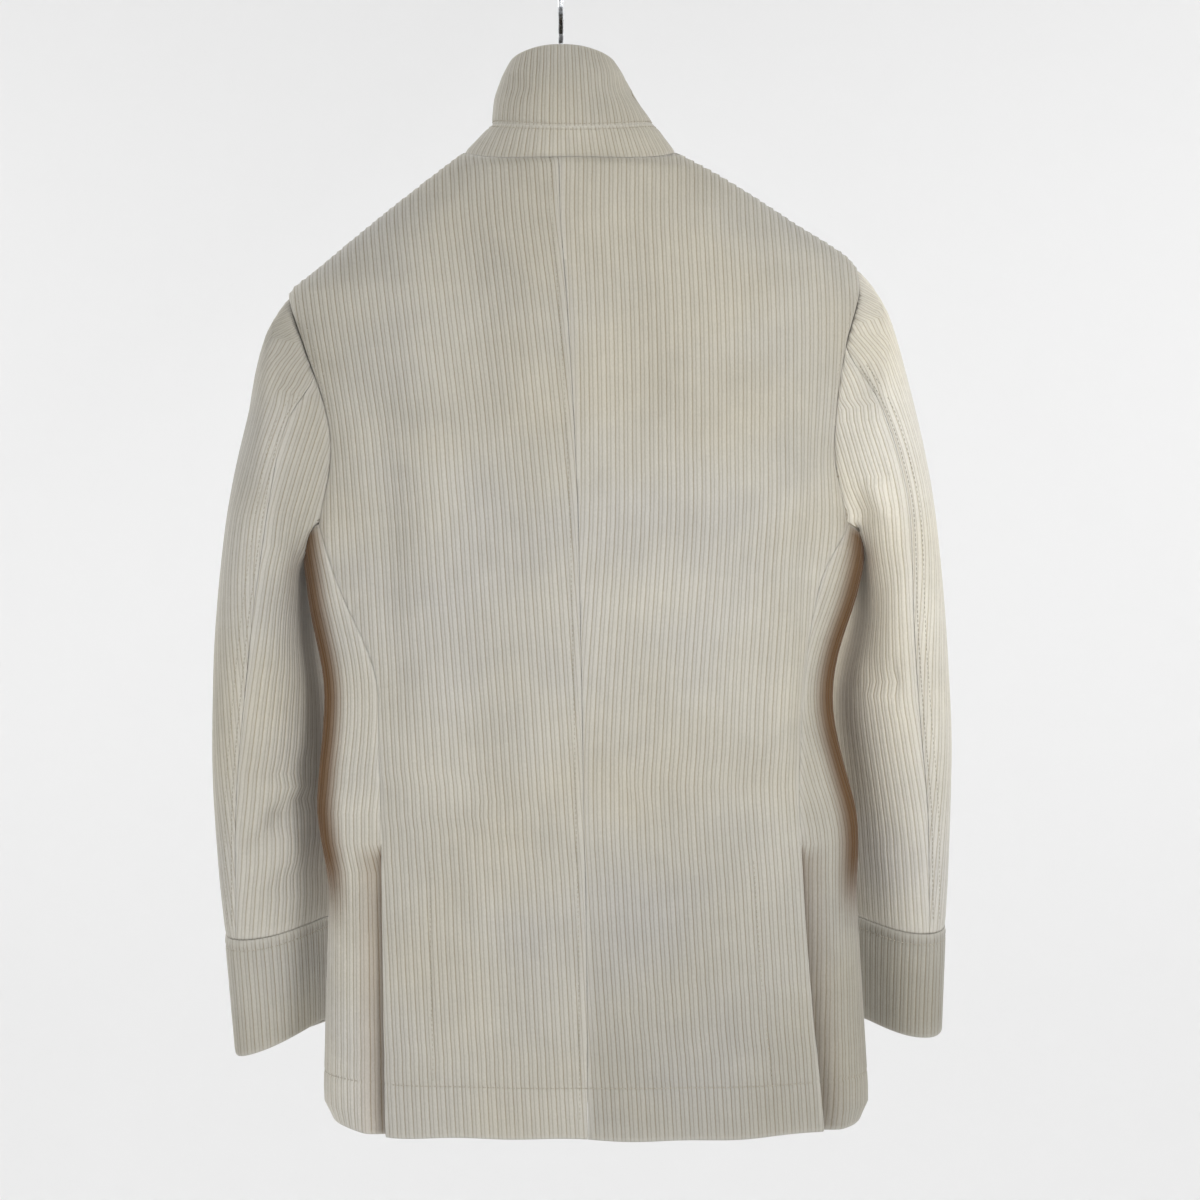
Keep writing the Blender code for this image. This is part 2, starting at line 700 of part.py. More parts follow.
def make_hanger(body, left, right):
    """A shaped beech hanger: one bar whose top edge lies under both shoulder ridges."""
    left_line = shoulder_line(body, left, 1, 3)
    right_line = shoulder_line(body, right, 1, 3)
    centre = np.array([0.0, 0.0, HUB_TOP])
    spine = [point + np.array([0.0, ARM_BACKWARD, 0.0]) for point in left_line[::-1] + [centre] + right_line]
    form = bmesh.new()
    rings = []
    for number, point in enumerate(spine):
        at_hub = number == len(left_line)
        thick = ARM_THICK / 2 * (HUB_THICKER if at_hub else 1.0)
        high = ARM_HEIGHT * (HUB_HIGHER if at_hub else 1.0)
        ring = []
        for y, z in ARM_SECTION:
            ring.append(form.verts.new((Vector(point) + Vector((0.0, y * thick, z * high))) * MM))
        rings.append(ring)
    for near, far in zip(rings, rings[1:]):
        for step in range(len(near)):
            following = (step + 1) % len(near)
            form.faces.new((near[step], near[following], far[following], far[step]))
    form.faces.new(rings[0])
    form.faces.new(rings[-1][::-1])
    return add_object("hanger", form, beech())


def make_hook():
    """The hanger's hook: a straight stem that bends back and round over the rod, edge on to the back."""
    radius = HOOK_INNER_RADIUS + HOOK_WIRE / 2
    centre = Vector((0.0, 0.0, -HOOK_INNER_RADIUS))
    route = [Vector((0.0, y, z)) for y, z in HOOK_STEM]
    for degrees in range(-60, 211, 15):
        turn = math.radians(degrees)
        route.append(centre + Vector((0.0, math.cos(turn), math.sin(turn))) * radius)
    wire = bpy.data.curves.new("hook", "CURVE")
    wire.dimensions = "3D"
    wire.bevel_depth = HOOK_WIRE / 2 * MM
    wire.bevel_resolution = 2
    wire.use_fill_caps = True
    spline = wire.splines.new("POLY")
    spline.points.add(len(route) - 1)
    for point, place in zip(spline.points, route):
        point.co = (*(place * MM), 1.0)
    wire.materials.append(steel())
    made = bpy.data.objects.new("hook", wire)
    bpy.context.scene.collection.objects.link(made)
    return made


def build_coat():
    """Sew the coat together, and hang it up."""
    body = body_tube()
    left = BodySeams(body, 1)
    right = BodySeams(body, -1)
    make_backs(body, left, right)
    make_sides(body, left, right)
    make_fronts(body, left, right)
    make_sleeve("left", sleeve_tube(body, left, LEFT_SLEEVE))
    make_sleeve("right", sleeve_tube(body, right, RIGHT_SLEEVE))
    make_cuff("left", LEFT_CUFF)
    make_cuff("right", RIGHT_CUFF)
    make_collar(body)
    make_buttons(body)
    make_hanger(body, left, right)
    make_hook()


clear_scene()
build_coat()
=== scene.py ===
"""The looks of a corduroy peacoat on a hanger: cloth, seams, stitching, buttons, wood and wire.

Sizes are in millimetres, as a tailor writes them, and become metres where a mesh is made. The coat's
front faces -Y, the wearer's left is +X, and the origin is the inside top of the hanger's hook.
"""
import math
from collections import namedtuple

import bmesh
import bpy
import numpy as np
from mathutils import Matrix, Vector


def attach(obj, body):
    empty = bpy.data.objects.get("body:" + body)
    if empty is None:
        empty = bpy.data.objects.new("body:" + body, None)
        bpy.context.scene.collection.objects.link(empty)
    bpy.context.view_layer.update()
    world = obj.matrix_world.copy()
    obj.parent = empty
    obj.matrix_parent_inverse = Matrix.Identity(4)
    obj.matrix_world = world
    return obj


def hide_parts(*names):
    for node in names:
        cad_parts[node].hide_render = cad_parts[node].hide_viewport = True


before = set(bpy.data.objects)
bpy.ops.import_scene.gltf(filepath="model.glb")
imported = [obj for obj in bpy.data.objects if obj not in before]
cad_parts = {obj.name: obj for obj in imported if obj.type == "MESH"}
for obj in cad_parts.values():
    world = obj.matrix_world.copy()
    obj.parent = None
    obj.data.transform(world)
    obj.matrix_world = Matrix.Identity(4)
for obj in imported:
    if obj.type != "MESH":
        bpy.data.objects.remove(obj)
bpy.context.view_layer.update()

# ---------------------------------------------------------------------------------------------------
# The cloth: a heavy cotton corduroy, cut and sewn with its wales upright. A broad and a narrow wale
# take turns, with a deep groove before the broad one and a shallow groove after it. The pile is
# brushed, so it scatters light softly. The grooves are browner for the ground weave that shows there,
# and the grooves and the wales' flanks are also darkened by painted shade of the recesses.

MM = 0.001
WALE_REPEAT = 7.0
BROAD_WALE = 4.1
CLOTH_THICK = 2.2
# One repeat across the wales, as millimetres from the deep groove and height below the wale's top.
WALE_PROFILE = ((0.0, -0.52), (0.75, -0.08), (3.4, 0.0), (BROAD_WALE, -0.38), (4.75, -0.1), (6.2, 0.0))


def hex_colour(code):
    """An sRGB hex value as linear red, green, blue and alpha."""
    parts = [int(code[place : place + 2], 16) / 255 for place in (1, 3, 5)]
    linear = [part / 12.92 if part <= 0.04045 else ((part + 0.055) / 1.055) ** 2.4 for part in parts]
    return (*linear, 1.0)


def set_sockets(material, node, **values):
    """Give sockets their values, by name or as n0, n1 and so on. A node and its output is a link."""
    for name, value in values.items():
        numbered = name[0] == "n" and name[1:].isdigit()
        socket = node.inputs[int(name[1:]) if numbered else name.replace("_", " ")]
        if isinstance(value, tuple) and isinstance(value[0], bpy.types.Node):
            material.node_tree.links.new(value[0].outputs[value[1]], socket)
        else:
            socket.default_value = value


def add_node(material, kind, settings=None, **values):
    """Add a node, with its settings and sockets."""
    node = material.node_tree.nodes.new(kind)
    for name, value in (settings or {}).items():
        setattr(node, name, value)
    set_sockets(material, node, **values)
    return node


def new_material(name):
    """An empty material with its surface shader, which is returned with it."""
    material = bpy.data.materials.new(name)
    material.use_nodes = True
    return material, material.node_tree.nodes["Principled BSDF"]


def set_ramp(node, stops):
    """Give a colour ramp its stops: place and colour."""
    ramp = node.color_ramp
    while len(ramp.elements) > 1:
        ramp.elements.remove(ramp.elements[-1])
    ramp.elements[0].position, ramp.elements[0].color = stops[0]
    for place, colour in stops[1:]:
        ramp.elements.new(place).color = colour


def make_corduroy():
    """Brushed cotton corduroy: matt, with a soft sheen on the pile, browner grooves, and painted shade
    darkening the grooves and the wales' flanks.
    """
    material, surface = new_material("brushed cotton corduroy, stone")
    pile_broad, pile_narrow = hex_colour("#D3D0C8"), hex_colour("#CFCCC5")
    flank, deep, shallow = hex_colour("#C8C3B8"), hex_colour("#AEA492"), hex_colour("#B6B0A5")
    cloth = add_node(material, "ShaderNodeUVMap", {"uv_map": "cloth"})
    # The wales wander by a third of a millimetre, as brushed pile does.
    stray = add_node(material, "ShaderNodeTexNoise", Vector=(cloth, "UV"), Scale=0.9, Detail=2.0)
    strayed = add_node(
        material, "ShaderNodeMapRange", Value=(stray, "Fac"), To_Min=-0.05, To_Max=0.05
    )
    across = add_node(material, "ShaderNodeSeparateXYZ", Vector=(cloth, "UV"))
    moved = add_node(material, "ShaderNodeMath", {"operation": "ADD"}, n0=(across, "X"), n1=(strayed, "Result"))
    wale = add_node(material, "ShaderNodeMath", {"operation": "FRACT"}, n0=(moved, "Value"))
    # Painted shade: the flanks and grooves are coloured darker than the wale tops, over the ground weave's
    # browner colour in the grooves.
    ground = add_node(material, "ShaderNodeValToRGB", Fac=(wale, "Value"))
    set_ramp(
        ground,
        [
            (0.0, deep), (0.03, deep), (0.08, flank), (0.14, pile_broad), (0.48, pile_broad), (0.545, flank),
            (0.575, shallow), (0.6, shallow), (0.64, flank), (0.69, pile_narrow), (0.9, pile_narrow),
            (0.955, flank), (1.0, deep),
        ],
    )
    # Nap brushed one way or the other in patches about 50 mm across, and tufts about 2 mm long.
    place = add_node(material, "ShaderNodeTexCoord")
    brushed = add_node(
        material, "ShaderNodeTexNoise", Vector=(place, "Object"), Scale=1 / 0.05, Detail=4.0, Roughness=0.6
    )
    patches = add_node(
        material, "ShaderNodeMapRange", Value=(brushed, "Fac"), From_Min=0.3, From_Max=0.7,
        To_Min=0.93, To_Max=1.05,
    )
    tufts_at = add_node(
        material, "ShaderNodeMapping", Vector=(cloth, "UV"), Scale=(WALE_REPEAT / 0.9, WALE_REPEAT / 2.4, 1.0)
    )
    tufts = add_node(
        material, "ShaderNodeTexNoise", Vector=(tufts_at, "Vector"), Scale=1.0, Detail=2.0, Roughness=0.6
    )
    tuft_shade = add_node(
        material, "ShaderNodeMapRange", Value=(tufts, "Fac"), From_Min=0.3, From_Max=0.7,
        To_Min=0.95, To_Max=1.05,
    )
    shade = add_node(
        material, "ShaderNodeMath", {"operation": "MULTIPLY"}, n0=(patches, "Result"), n1=(tuft_shade, "Result")
    )
    shaded = add_node(
        material, "ShaderNodeVectorMath", {"operation": "SCALE"}, n0=(ground, "Color"), Scale=(shade, "Value")
    )
    # Wear and washing leave some parts creamy and some grey.
    washed = add_node(
        material, "ShaderNodeTexNoise", Vector=(place, "Object"), Scale=1 / 0.16, Detail=2.0, Roughness=0.5
    )
    tint = add_node(material, "ShaderNodeValToRGB", Fac=(washed, "Fac"))
    set_ramp(tint, [(0.32, hex_colour("#FAFAFB")), (0.5, hex_colour("#FFFEFA")), (0.68, hex_colour("#FFFCF3"))])
    tinted = add_node(
        material, "ShaderNodeVectorMath", {"operation": "MULTIPLY"}, n0=(shaded, "Vector"), n1=(tint, "Color")
    )
    # Each panel is made lighter or darker at its top, middle and bottom: partly its nap lying another
    # way, partly painted light and shade where more or less light falls on it.
    nap_and_painted_light = add_node(material, "ShaderNodeAttribute", {"attribute_name": "nap_and_painted_light"})
    laid = add_node(
        material, "ShaderNodeVectorMath", {"operation": "SCALE"}, n0=(tinted, "Vector"), Scale=(nap_and_painted_light, "Fac")
    )
    # Painted shade: the hollows beside the sleeves and the underlays beside the vents' edges
    # are darkened towards a warm brown, where shade falls between the parts.
    hidden = add_node(material, "ShaderNodeAttribute", {"attribute_name": "hidden"})
    darkened_by_painted_shade = add_node(
        material, "ShaderNodeMix", {"data_type": "RGBA", "blend_type": "MULTIPLY"}, n0=(hidden, "Fac"),
        n6=(laid, "Vector"), n7=hex_colour("#8E6E50"),
    )
    # Seams and edges are rubbed paler and flatter.
    rubbed = add_node(material, "ShaderNodeAttribute", {"attribute_name": "rubbed"})
    rub_share = add_node(material, "ShaderNodeMath", {"operation": "MULTIPLY"}, n0=(rubbed, "Fac"), n1=0.35)
    colour = add_node(
        material, "ShaderNodeMix", {"data_type": "RGBA"}, n0=(rub_share, "Value"), n6=(darkened_by_painted_shade, 2),
        n7=hex_colour("#D3D0C8"),
    )
    pile = add_node(material, "ShaderNodeBump", Strength=0.4, Distance=0.4 * MM, Height=(tufts, "Fac"))
    set_sockets(
        material, surface, Base_Color=(colour, 2), Normal=(pile, "Normal"), Roughness=0.95,
        Specular_IOR_Level=0.2, Sheen_Weight=0.3, Sheen_Roughness=0.45, Sheen_Tint=hex_colour("#F1EFEA"),
    )
    return material


def make_cloth_back():
    """The corduroy's plain twill back, as the inside of the unlined walls shows it."""
    material, surface = new_material("cotton twill, back of the corduroy")
    cloth = add_node(material, "ShaderNodeUVMap", {"uv_map": "cloth"})
    # Twill lines are drawn 1.4 mm apart, coarser than the real thread, so that they show.
    slant = add_node(
        material, "ShaderNodeMapping", Vector=(cloth, "UV"), Rotation=(0.0, 0.0, math.radians(45.0)),
        Scale=(WALE_REPEAT / 1.4, WALE_REPEAT / 1.4, 1.0),
    )
    lines = add_node(material, "ShaderNodeTexWave", Vector=(slant, "Vector"), Scale=0.16, Distortion=0.6)
    weave = add_node(material, "ShaderNodeValToRGB", Fac=(lines, "Fac"))
    set_ramp(weave, [(0.0, hex_colour("#A39B8B")), (1.0, hex_colour("#B5AEA0"))])
    relief = add_node(material, "ShaderNodeBump", Strength=0.3, Distance=0.2 * MM, Height=(lines, "Fac"))
    set_sockets(
        material, surface, Base_Color=(weave, "Color"), Normal=(relief, "Normal"), Roughness=0.95,
        Specular_IOR_Level=0.2,
    )
    return material


corduroy = make_corduroy()
cloth_back = make_cloth_back()


def ease(value):
    """From 0 to 1 with level ends."""
    held = np.clip(value, 0.0, 1.0)
    return held * held * (3.0 - 2.0 * held)


def power(value, exponent):
    """A signed power, for rounded outlines."""
    return np.sign(value) * np.abs(value) ** exponent


def flow(known, values, wanted):
    """A smooth run through known values that never overshoots them."""
    known, values = np.asarray(known, float), np.asarray(values, float)
    if known[0] > known[-1]:
        known, values = known[::-1], values[::-1]
    wide = (-1,) + (1,) * (values.ndim - 1)
    step = np.diff(known)
    slope = np.diff(values, axis=0) / step.reshape(wide)
    tangent = np.zeros_like(values)
    tangent[0], tangent[-1] = slope[0], slope[-1]
    product = slope[:-1] * slope[1:]
    total = np.where(product > 0, slope[:-1] + slope[1:], 1.0)
    tangent[1:-1] = np.where(product > 0, 2.0 * product / total, 0.0)
    wanted = np.atleast_1d(np.asarray(wanted, float))
    at = np.clip(np.searchsorted(known, wanted) - 1, 0, len(known) - 2)
    share = ((wanted - known[at]) / step[at]).reshape(wide)
    reach = step[at].reshape(wide)
    low, high = values[at], values[at + 1]
    return (
        (2 * share**3 - 3 * share**2 + 1) * low
        + (share**3 - 2 * share**2 + share) * reach * tangent[at]
        + (3 * share**2 - 2 * share**3) * high
        + (share**3 - share**2) * reach * tangent[at + 1]
    )


def lengths_along(points):
    """The length along a run of points to each of them."""
    return np.concatenate([[0.0], np.cumsum(np.linalg.norm(np.diff(points, axis=0), axis=1))])


def read_run(where, lengths, points):
    """Points of a run, at lengths along it."""
    return np.stack([np.interp(where, lengths, points[:, axis]) for axis in range(points.shape[1])], axis=-1)


class ClothTube:
    """Rows round a body or an arm, one below another, read by the length along each from a seam.

    levels is the length down the tube to each row, in millimetres. A row that stops at an armhole is
    shorter than its girth, and what is read past its ends lies at the nearer end.
    """

    def __init__(self, levels, points, facings, lengths, girths):
        self.levels = np.asarray(levels, float)
        self.points, self.facings, self.lengths, self.girths = points, facings, lengths, girths

    def gap(self, row):
        """The length that is missing from a row."""
        return self.girths[row] - (self.lengths[row][-1] - self.lengths[row][0])

    def read(self, row, along):
        """Points on one row, and the directions that the cloth faces there."""
        lengths = self.lengths[row]
        where = lengths[0] + (np.asarray(along, float) - lengths[0]) % self.girths[row]
        where = np.where(where > lengths[-1] + self.gap(row) / 2, lengths[0], where)
        point, facing = (read_run(where, lengths, field[row]) for field in (self.points, self.facings))
        return point, facing / np.linalg.norm(facing, axis=-1, keepdims=True)

    def place(self, level, along):
        """Points at a length down the tube and lengths round it, and the directions faced."""
        below = int(np.clip(np.searchsorted(self.levels, level), 1, len(self.levels) - 1))
        share = (level - self.levels[below - 1]) / (self.levels[below] - self.levels[below - 1])
        upper, facing_upper = self.read(below - 1, along)
        lower, facing_lower = self.read(below, along)
        return upper + share * (lower - upper), facing_upper + share * (facing_lower - facing_upper)


def face_out(loops):
    """The direction that the cloth faces at each point of closed loops."""
    along = np.roll(loops, -1, axis=1) - np.roll(loops, 1, axis=1)
    facing = np.cross(along, np.gradient(loops, axis=0))
    facing /= np.linalg.norm(facing, axis=2)[:, :, None] + 1e-9
    middle = len(loops) // 2
    from_middle = loops[middle] - loops[middle].mean(axis=0)
    return -facing if np.sum(facing[middle] * from_middle) < 0 else facing


def close_tube(levels, loops, depth_share=1.0):
    """A tube of closed loops, whose lengths count depth and height by a share on each."""
    closed = np.concatenate([loops, loops[:, :1]], axis=1)
    facing = face_out(loops)
    steps = np.diff(closed, axis=1) ** 2
    share = np.broadcast_to(depth_share, len(loops))[:, None]
    steps = np.sqrt(steps[..., 0] + share * (steps[..., 1] + steps[..., 2]))
    lengths = np.concatenate([np.zeros((len(loops), 1)), np.cumsum(steps, axis=1)], axis=1)
    facing = np.concatenate([facing, facing[:, :1]], axis=1)
    return ClothTube(levels, closed, facing, lengths, lengths[:, -1].copy())


# Sewn edges lie this far apart, and the cloth dips into the seam with its wales pressed flatter.
SEAM_GAP = 0.3
SEAM_DIP = 0.9
SEAM_REACH = 5.0
WALES_AT_SEAM = 0.35
RUBBED_BAND = 6.0
# The turned edge of a hem, as length from it and depth that the cloth rolls in.
EDGE_ROLL = ((0.0, 1.5), (0.9, 0.6), (2.2, 0.15), (4.0, 0.0))


def roll_in(distance):
    """How far the cloth is turned in at a length from a finished edge."""
    lengths, depths = zip(*EDGE_ROLL)
    return np.interp(distance, lengths, depths)


def wale_height(across):
    """Height of the pile at a length across the wales."""
    places = [place for place, _ in WALE_PROFILE] + [WALE_REPEAT]
    heights = [height for _, height in WALE_PROFILE] + [WALE_PROFILE[0][1]]
    return np.interp(np.mod(across, WALE_REPEAT), places, heights)


# Stitches press the pile down, over a little width either side.
PRESS_DEPTH = 0.75
PRESS_REACH = 2.4
# The longest edge that a panel may have: longer ones span an armhole, and are cut away.
LONGEST_EDGE = 24.0
# How light each panel is made at its top, halfway down and at its bottom: partly by its nap,
# partly painted light and shade.
NAP_AND_PAINTED_LIGHT = {
    "back_left": (0.81, 0.92, 0.87),
    "back_right": (0.865, 0.97, 0.71),
    "side_left": (0.96, 1.03, 1.12),
    "side_right": (0.93, 0.82, 0.66),
    "front_left": (0.94, 0.96, 0.9),
    "front_right": (0.94, 0.96, 0.9),
    "top_sleeve_left": (0.82, 0.92, 0.95),
    "top_sleeve_right": (1.38, 1.27, 1.02),
    "under_sleeve_left": (0.82, 0.9, 0.95),
    "under_sleeve_right": (1.38, 1.27, 1.04),
    "cuff_left": (0.82, 0.8, 0.77),
    "cuff_right": (0.7, 0.67, 0.64),
    "collar_stand": (0.85, 0.85, 0.85),
    "collar_leaf": (0.77, 0.79, 0.81),
}


def cut_panel(name, node, tube, rows, start, end, line, finished=(), rests_on=("hanger",), **shaping):
    """A panel of corduroy between two edges on a tube, sewn in as one sheet.

    start, end and line give, for each row, the length round the tube of both edges and of a wale that
    the others are spaced from. finished names the edges that are turned in rather than sewn: start,
    end, top or bottom. shaping may give sunk, the depth below the tube's face, pressed, the distance
    to the nearest line of stitches, the painted shade measure, how much the cloth is darkened as painted
    shade in a hollow or beside a vent's edge, and band, the width of the rubbed cloth beside the seams.
    """
    lowest = float(np.min(start - line))
    highest = float(np.max(end - line))
    repeats = range(math.floor(lowest / WALE_REPEAT), math.ceil(highest / WALE_REPEAT) + 1)
    offsets = np.array([count * WALE_REPEAT + place for count in repeats for place, _ in WALE_PROFILE])
    form = bmesh.new()
    bmesh.ops.create_grid(form, x_segments=len(offsets) - 1, y_segments=len(rows) - 1, size=1.0)
    mesh = bpy.data.meshes.new(name)
    form.to_mesh(mesh)
    form.free()

    points, across, down, rub, nap_and_painted_light, hidden = [], [], [], [], [], []
    top, bottom = tube.levels[rows[0]], tube.levels[rows[-1]]
    for number, row in enumerate(rows):
        along = np.clip(line[number] + offsets, start[number], end[number])
        level = tube.levels[row]
        point, facing = tube.read(row, along)
        edges_here = {"start": tube.read(row, start[number])[0], "end": tube.read(row, end[number])[0]}
        away = {edge: np.linalg.norm(point - place, axis=1) for edge, place in edges_here.items()}
        away["top"], away["bottom"] = np.full(len(along), level - top), np.full(len(along), bottom - level)
        if tube.gap(row) > SEAM_GAP:
            away["gap"] = np.minimum(
                np.linalg.norm(point - tube.points[row][0], axis=1),
                np.linalg.norm(point - tube.points[row][-1], axis=1),
            )
        near_seam = np.min([length for edge, length in away.items() if edge not in finished], axis=0)
        near_edge = np.min([away[edge] for edge in finished] or [near_seam + 99.0], axis=0)
        nearest = np.minimum(near_seam, near_edge)
        raised = WALES_AT_SEAM + (1.0 - WALES_AT_SEAM) * ease(nearest / SEAM_REACH)
        height = wale_height(along - line[number]) * raised
        height -= SEAM_DIP * (1.0 - ease(near_seam / SEAM_REACH)) + roll_in(near_edge)
        if "sunk" in shaping:
            height -= shaping["sunk"](number, along)
        if "pressed" in shaping:
            height -= PRESS_DEPTH * (1.0 - ease(shaping["pressed"](number, along) / PRESS_REACH))
        points.append(point + facing * height[:, None])
        across.append((along - line[number]) / WALE_REPEAT)
        down.append(np.full(len(along), level / WALE_REPEAT))
        rub.append(1.0 - ease(nearest / shaping.get("band", RUBBED_BAND)))
        nap_and_painted_light.append(np.full(len(along), np.interp(level, (top, (top + bottom) / 2, bottom), NAP_AND_PAINTED_LIGHT[node])))
        shade = shaping["hidden"](number, along, row, point) if "hidden" in shaping else np.zeros(len(along))
        hidden.append(shade)
    mesh.vertices.foreach_set("co", (np.concatenate(points) * MM).ravel())

    corners = np.zeros(len(mesh.loops), dtype=np.int32)
    mesh.loops.foreach_get("vertex_index", corners)
    layer = mesh.uv_layers.new(name="cloth")
    flat = np.stack([np.concatenate(across), np.concatenate(down)], axis=1)[corners]
    layer.data.foreach_set("uv", flat.ravel())
    for measure, values in (("rubbed", rub), ("nap_and_painted_light", nap_and_painted_light), ("hidden", hidden)):
        mesh.attributes.new(measure, "FLOAT", "POINT").data.foreach_set("value", np.concatenate(values))

    form = bmesh.new()
    form.from_mesh(mesh)
    if any(tube.gap(row) > SEAM_GAP for row in rows):
        spans = [edge for edge in form.edges if edge.calc_length() > LONGEST_EDGE * MM]
        bmesh.ops.delete(form, geom=spans, context="EDGES")
    bmesh.ops.remove_doubles(form, verts=form.verts, dist=0.02 * MM)
    bmesh.ops.dissolve_degenerate(form, edges=form.edges, dist=0.01 * MM)
    bmesh.ops.delete(form, geom=[vert for vert in form.verts if not vert.link_faces], context="VERTS")
    form.normal_update()
    middle_row = len(rows) * 2 // 3
    middle_along = (start[middle_row] + end[middle_row]) / 2
    point, facing = tube.read(rows[middle_row], np.array([middle_along]))
    nearest_face = min(form.faces, key=lambda face: (face.calc_center_median() - Vector(point[0] * MM)).length)
    if nearest_face.normal.dot(Vector(facing[0])) < 0:
        bmesh.ops.reverse_faces(form, faces=form.faces)
    form.to_mesh(mesh)
    form.free()
    mesh.shade_smooth()
    mesh.materials.append(corduroy)
    mesh.materials.append(cloth_back)

    piece = bpy.data.objects.new(name, mesh)
    bpy.context.scene.collection.objects.link(piece)
    wall = piece.modifiers.new("thickness of the cloth", "SOLIDIFY")
    wall.thickness = CLOTH_THICK * MM
    wall.offset = -1.0
    wall.material_offset = 1
    wall.material_offset_rim = 0
    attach(piece, "root")
    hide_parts(node)


# The sewing: cotton thread a shade browner than the pile, in stitches about 3 mm long, each a short
# bead that sinks a little into the cloth.
STITCH_PITCH = 4.0
STITCH_LENGTH = 2.9
THREAD_THICK = 0.75


def make_thread():
    """Twisted cotton sewing thread: matt, with its twist as fine slanting bands."""
    material, surface = new_material("twisted cotton thread, ecru")
    place = add_node(material, "ShaderNodeTexCoord")
    # The twist is drawn 0.8 mm apart, coarser than in real thread, so that it shows.
    twist = add_node(
        material, "ShaderNodeTexWave", {"bands_direction": "DIAGONAL"}, Vector=(place, "Object"),
        Scale=0.3 / 0.8 / MM,
        Distortion=0.5,
    )
    strands = add_node(material, "ShaderNodeValToRGB", Fac=(twist, "Fac"))
    set_ramp(strands, [(0.0, hex_colour("#A79F8F")), (1.0, hex_colour("#C4BDAE"))])
    relief = add_node(material, "ShaderNodeBump", Strength=0.4, Distance=0.1 * MM, Height=(twist, "Fac"))
    set_sockets(
        material, surface, Base_Color=(strands, "Color"), Normal=(relief, "Normal"), Roughness=0.8,
        Specular_IOR_Level=0.3,
    )
    return material


thread = make_thread()


def make_piece(name, form, material):
    """A smooth-shaded object made from a form, which is used up."""
    mesh = bpy.data.meshes.new(name)
    form.to_mesh(mesh)
    form.free()
    mesh.shade_smooth()
    mesh.materials.append(material)
    piece = bpy.data.objects.new(name, mesh)
    bpy.context.scene.collection.objects.link(piece)
    return piece


def add_stitch(form, middle, run_on, facing, length, thick):
    """One stitch, a long bead that lies on the cloth."""
    run_on = Vector(run_on).normalized()
    up = Vector(facing) - run_on * run_on.dot(Vector(facing))
    up.normalize()
    turned = Matrix((run_on, up.cross(run_on), up)).transposed().to_4x4()
    stretch = Matrix.Diagonal((length / 2, thick / 2, thick / 2, 1.0))
    place = Matrix.Translation(Vector(middle) * MM) @ turned @ stretch
    bmesh.ops.create_icosphere(form, subdivisions=1, radius=1.15 * MM, matrix=place)


def finish_thread(name, form):
    """A piece of sewing, from its stitches."""
    piece = make_piece(name, form, thread)
    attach(piece, "root")


def sew(name, tube, runs, sink=PRESS_DEPTH):
    """Stitches along runs on a tube: each run is a list of lengths down the tube and round it."""
    form = bmesh.new()
    for run in runs:
        placed = [tube.place(level, np.array([along])) for level, along in run]
        way = np.array([point[0] for point, _ in placed])
        facings = np.array([facing[0] for _, facing in placed])
        lengths = lengths_along(way)
        for middle in np.arange(STITCH_PITCH / 2, lengths[-1], STITCH_PITCH):
            ends = read_run(middle + np.array([-0.5, 0.5]) * STITCH_LENGTH, lengths, way)
            facing = read_run(middle, lengths, facings)
            facing /= np.linalg.norm(facing)
            middle_point = (ends[0] + ends[1]) / 2 - facing * (sink - THREAD_THICK * 0.15)
            add_stitch(form, middle_point, ends[1] - ends[0], facing, STITCH_LENGTH, THREAD_THICK)
    finish_thread(name, form)


# ---------------------------------------------------------------------------------------------------
# The body: the surface that the backs, the side bodies and the fronts are cut from. It hangs from the
# shoulders in soft upright folds, and its wales are level lengths round it. The sections are level
# cuts: outermost x left and right, depth on the middle line, rounding and the centre-back seam's x.

Section = namedtuple("Section", "z left right back front square seam")
BODY = [
    Section(-140, 82, -97, 58, -55, 2.1, 2),
    Section(-157, 104, -128, 63, -58, 2.1, 1),
    Section(-196, 154, -190, 71, -64, 2.1, 0),
    Section(-237, 203, -248, 76, -71, 2.2, -3),
    Section(-261, 227, -255, 78, -74, 2.4, -5),
    Section(-305, 221, -250, 80, -77, 2.6, -8),
    Section(-378, 210, -243, 84, -83, 2.7, -12),
    Section(-450, 203, -240, 83, -84, 2.6, -15),
    Section(-500, 198, -235, 81, -84, 2.5, -16),
    Section(-598, 189, -223, 76, -79, 2.5, -18),
    Section(-711, 192, -241, 76, -77, 2.5, -20),
    Section(-740, 193, -245, 77, -77, 2.5, -21),
    Section(-946, 198, -258, 79, -80, 2.5, -23),
]
LOOP_STEPS = 720
# How far the neck's seam drops at the back and the front, and how far down the body that reaches.
NECK_BACK_DROP = 11.0
NECK_BACK_REACH = 17.0
NECK_FRONT_DROP = 74.0
NECK_DROP_REACH = 230.0
# The rows sag under the arm, most at the underarm, within a depth either side of the middle.
UNDERARM_Z = -450.0
UNDERARM_SAG = 19.0
SAG_TOP, SAG_BOTTOM = -378.0, -500.0
SAG_REACH = 46.0
# The hem drops a little at the back, and its corners curl in over a height above it.
HEM_Z = BODY[-1].z
HEM_BACK_DROP = 6.0
HEM_DROP_TOP = -740.0
HEM_CURL = 8.0
HEM_CURL_HEIGHT = 30.0
HEM_CURL_FROM = 0.8
# The cloth can't drift near the neck's seam, and less than elsewhere at the hem.
NECK_HELD = 60.0
HEM_HELD = 30.0
HEM_WAVE_REACH = 60.0
# Stitches that hold the turned-up hem, as a height above it.
HEM_STITCH = 41.0
SHOULDER_TIP = {"left": -261.0, "right": -237.0}
# Which way along X leads out from the coat's middle, on the wearer's left and right.
OUTWARD = {"left": 1.0, "right": -1.0}

